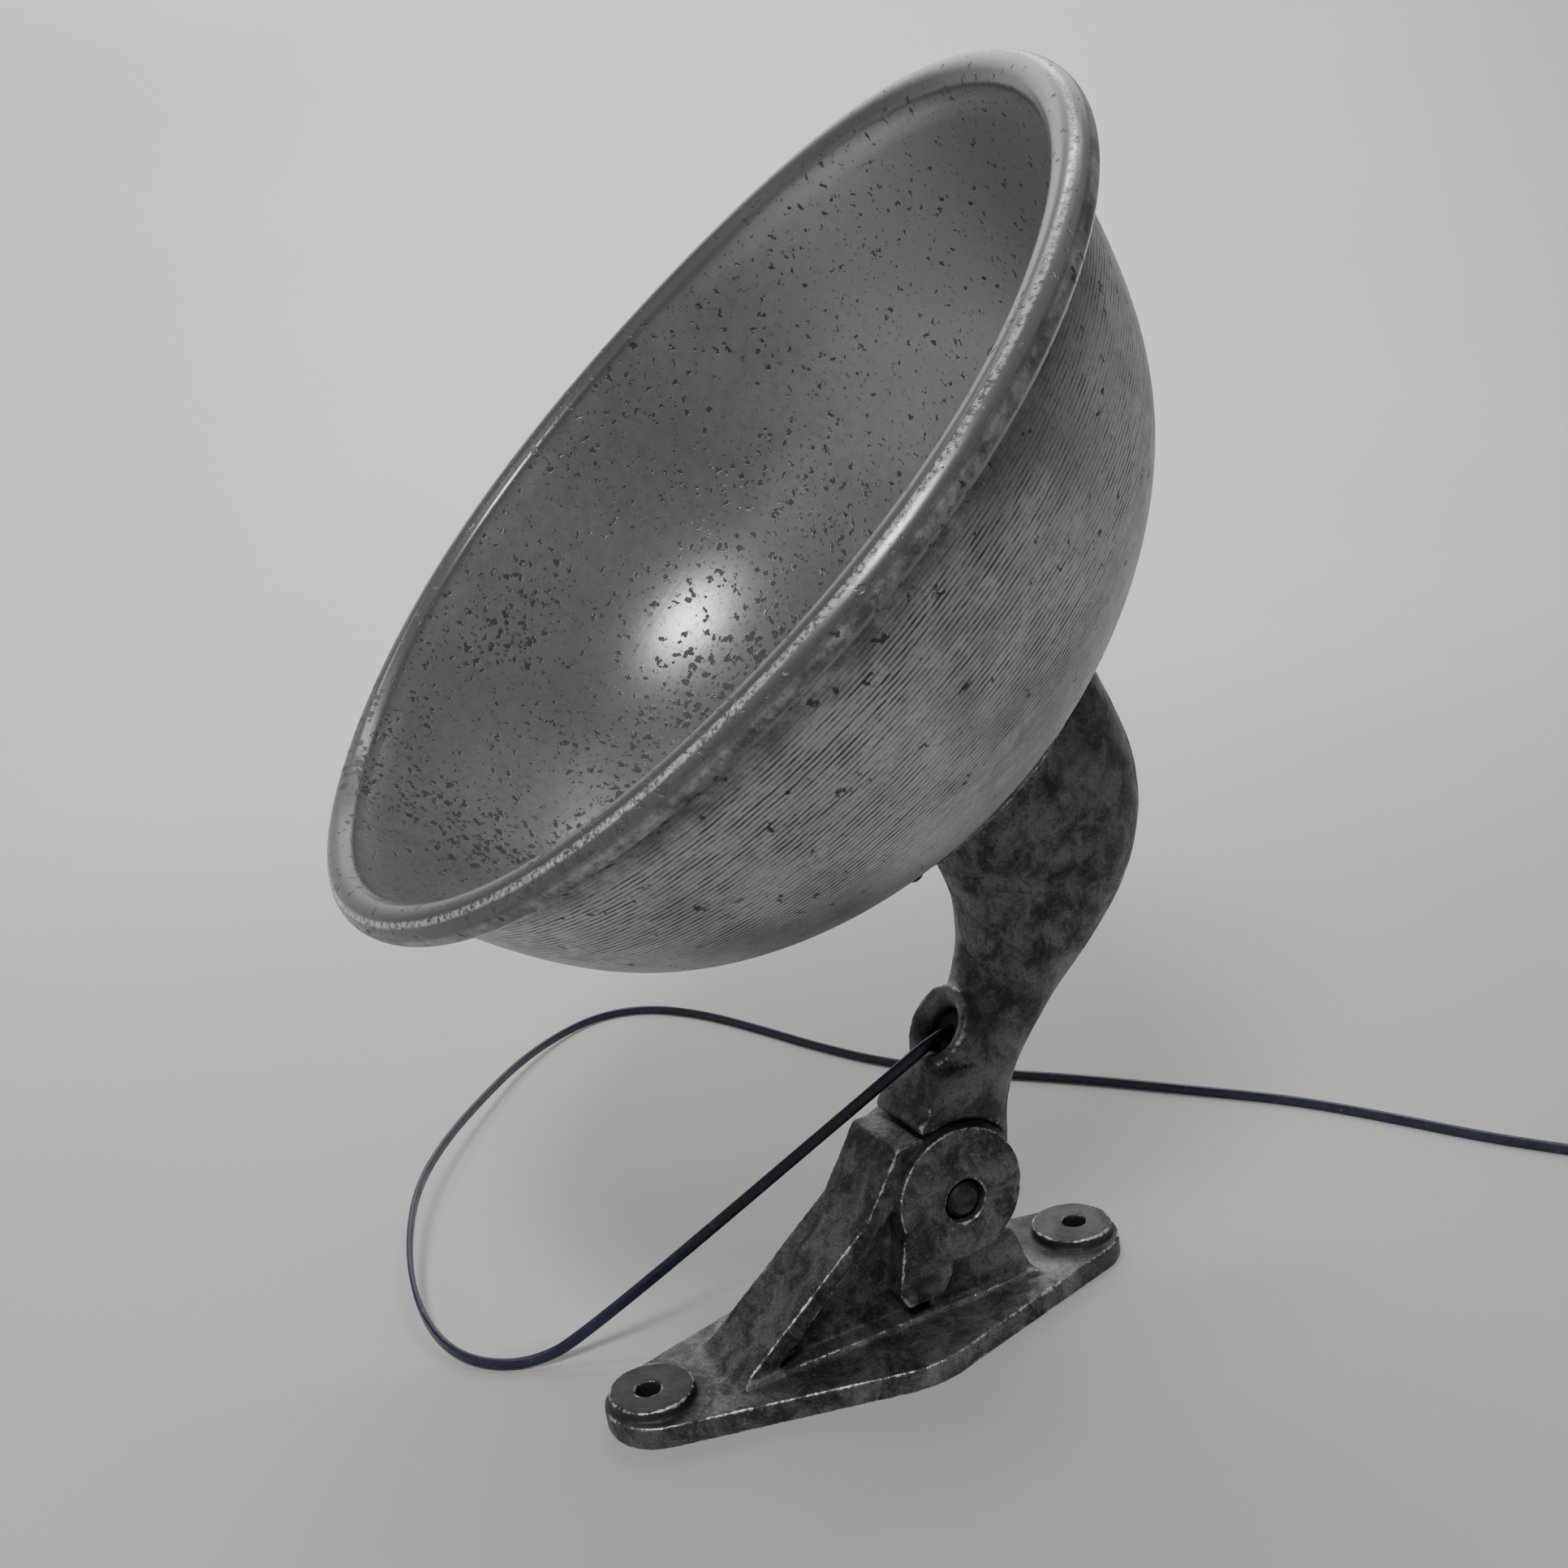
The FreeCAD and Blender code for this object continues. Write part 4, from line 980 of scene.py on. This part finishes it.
def gland_bush(rubber):
    place = frame_along(GLAND_FACE, GLAND_AXIS)
    bush = lathe("gland_bush", soft_corners(BUSH_CORNERS, 0.8, 4), 64, place)
    bush.data.materials.append(rubber)
    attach(bush, "head")
    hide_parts("cord_bush")


# The nodes shown as their CAD solids, by finish.
CAD_FINISHES = {
    # The hinge bolt's head is coloured near black, as dark as the middle of its pocket.
    "dark_steel": ("hinge_bolt",),
    "steel": ("hinge_washer", "hinge_nut", "reflector_screws", "reflector_screw_washers",
              "dome_nut_washers", "lampholder_plate"),
    "black": ("reflector_dome_nut",),
    "fibre": ("near_friction_disc", "far_friction_disc", "seating_ring"),
    "brass": ("lampholder_plate_screws", "lamp_centre_contact", "lampholder_terminals"),
    "red": ("live_wire",),
    "dark_wire": ("neutral_wire",),
}


def make_small_parts(materials):
    threaded_shell(materials["brass"])
    porcelain_holder(materials["glaze"])
    gland_bush(materials["rubber"])
    for finish, nodes in CAD_FINISHES.items():
        for node in nodes:
            for slot in NODES[node].material_slots:
                slot.material = materials[finish]


# ---------------------------------------------------------------- the whole object

# Finish: material name, colour, rusted colour, smoothest roughness and how metallic it is.
METALS = {
    "steel": ("zinc_steel", (0.34, 0.33, 0.31, 1), (0.16, 0.10, 0.06, 1), 0.32, 0.9),
    "black": ("blackened_steel", (0.030, 0.029, 0.028, 1), (0.016, 0.014, 0.012, 1), 0.28, 0.5),
    "dark_steel": ("dark_bolt", (0.060, 0.060, 0.058, 1), (0.030, 0.028, 0.026, 1), 0.40, 0.75),
    "brass": ("dull_brass", (0.46, 0.33, 0.14, 1), (0.24, 0.15, 0.06, 1), 0.30, 0.9),
}
# Finish: material name, colour, worn colour, smoothest roughness, strength of the grain and coat.
MOULDINGS = {
    "fibre": ("grey_fibre", (0.10, 0.095, 0.085, 1), (0.15, 0.14, 0.125, 1), 0.7, 0.6, 0),
    "glaze": ("porcelain_glaze", (0.72, 0.70, 0.64, 1), (0.62, 0.59, 0.52, 1), 0.16, 0.1, 0.6),
    "rubber": ("black_rubber", (0.008, 0.008, 0.008, 1), (0.016, 0.015, 0.014, 1), 0.55, 0.5, 0),
    "red": ("wire_red_sleeve", (0.33, 0.03, 0.02, 1), (0.24, 0.03, 0.02, 1), 0.4, 0.3, 0),
    "dark_wire": ("wire_black_sleeve", (0.02, 0.02, 0.022, 1), (0.035, 0.034, 0.034, 1), 0.4, 0.3, 0),
    "sheath": ("navy_sheath", (0.008, 0.011, 0.034, 1), (0.013, 0.017, 0.048, 1), 0.28, 0.3, 0),
    "moulding": ("plug_black", (0.015, 0.015, 0.017, 1), (0.03, 0.03, 0.032, 1), 0.35, 0.3, 0),
}
# Casting: material name, dark, middle and bright colours, and roughness.
BRACKET_SKIN = ("bracket_cast", (0.040, 0.040, 0.039, 1), (0.150, 0.150, 0.146, 1),
                (0.34, 0.34, 0.33, 1), 0.42)
ARM_SKIN = ("arm_cast", (0.044, 0.045, 0.044, 1), (0.148, 0.151, 0.147, 1),
            (0.26, 0.262, 0.256, 1), 0.42)


def main():
    materials = {finish: steel_material(*row) for finish, row in METALS.items()}
    materials.update({finish: moulded_material(*row) for finish, row in MOULDINGS.items()})
    make_stage(make_camera())
    make_lights()
    make_bracket(cast_material(*BRACKET_SKIN))
    make_arm(cast_material(*ARM_SKIN))
    make_bowl(bowl_inside_material(), bowl_outside_material())
    make_small_parts(materials)
    cord, line = make_cord(materials["sheath"])
    tie = make_tie(materials["rubber"])
    plug, prongs = make_plug(materials["moulding"], materials["brass"])
    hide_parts("flex_entry", "flex_cord", "flex_coil")
    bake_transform(cord)


main()
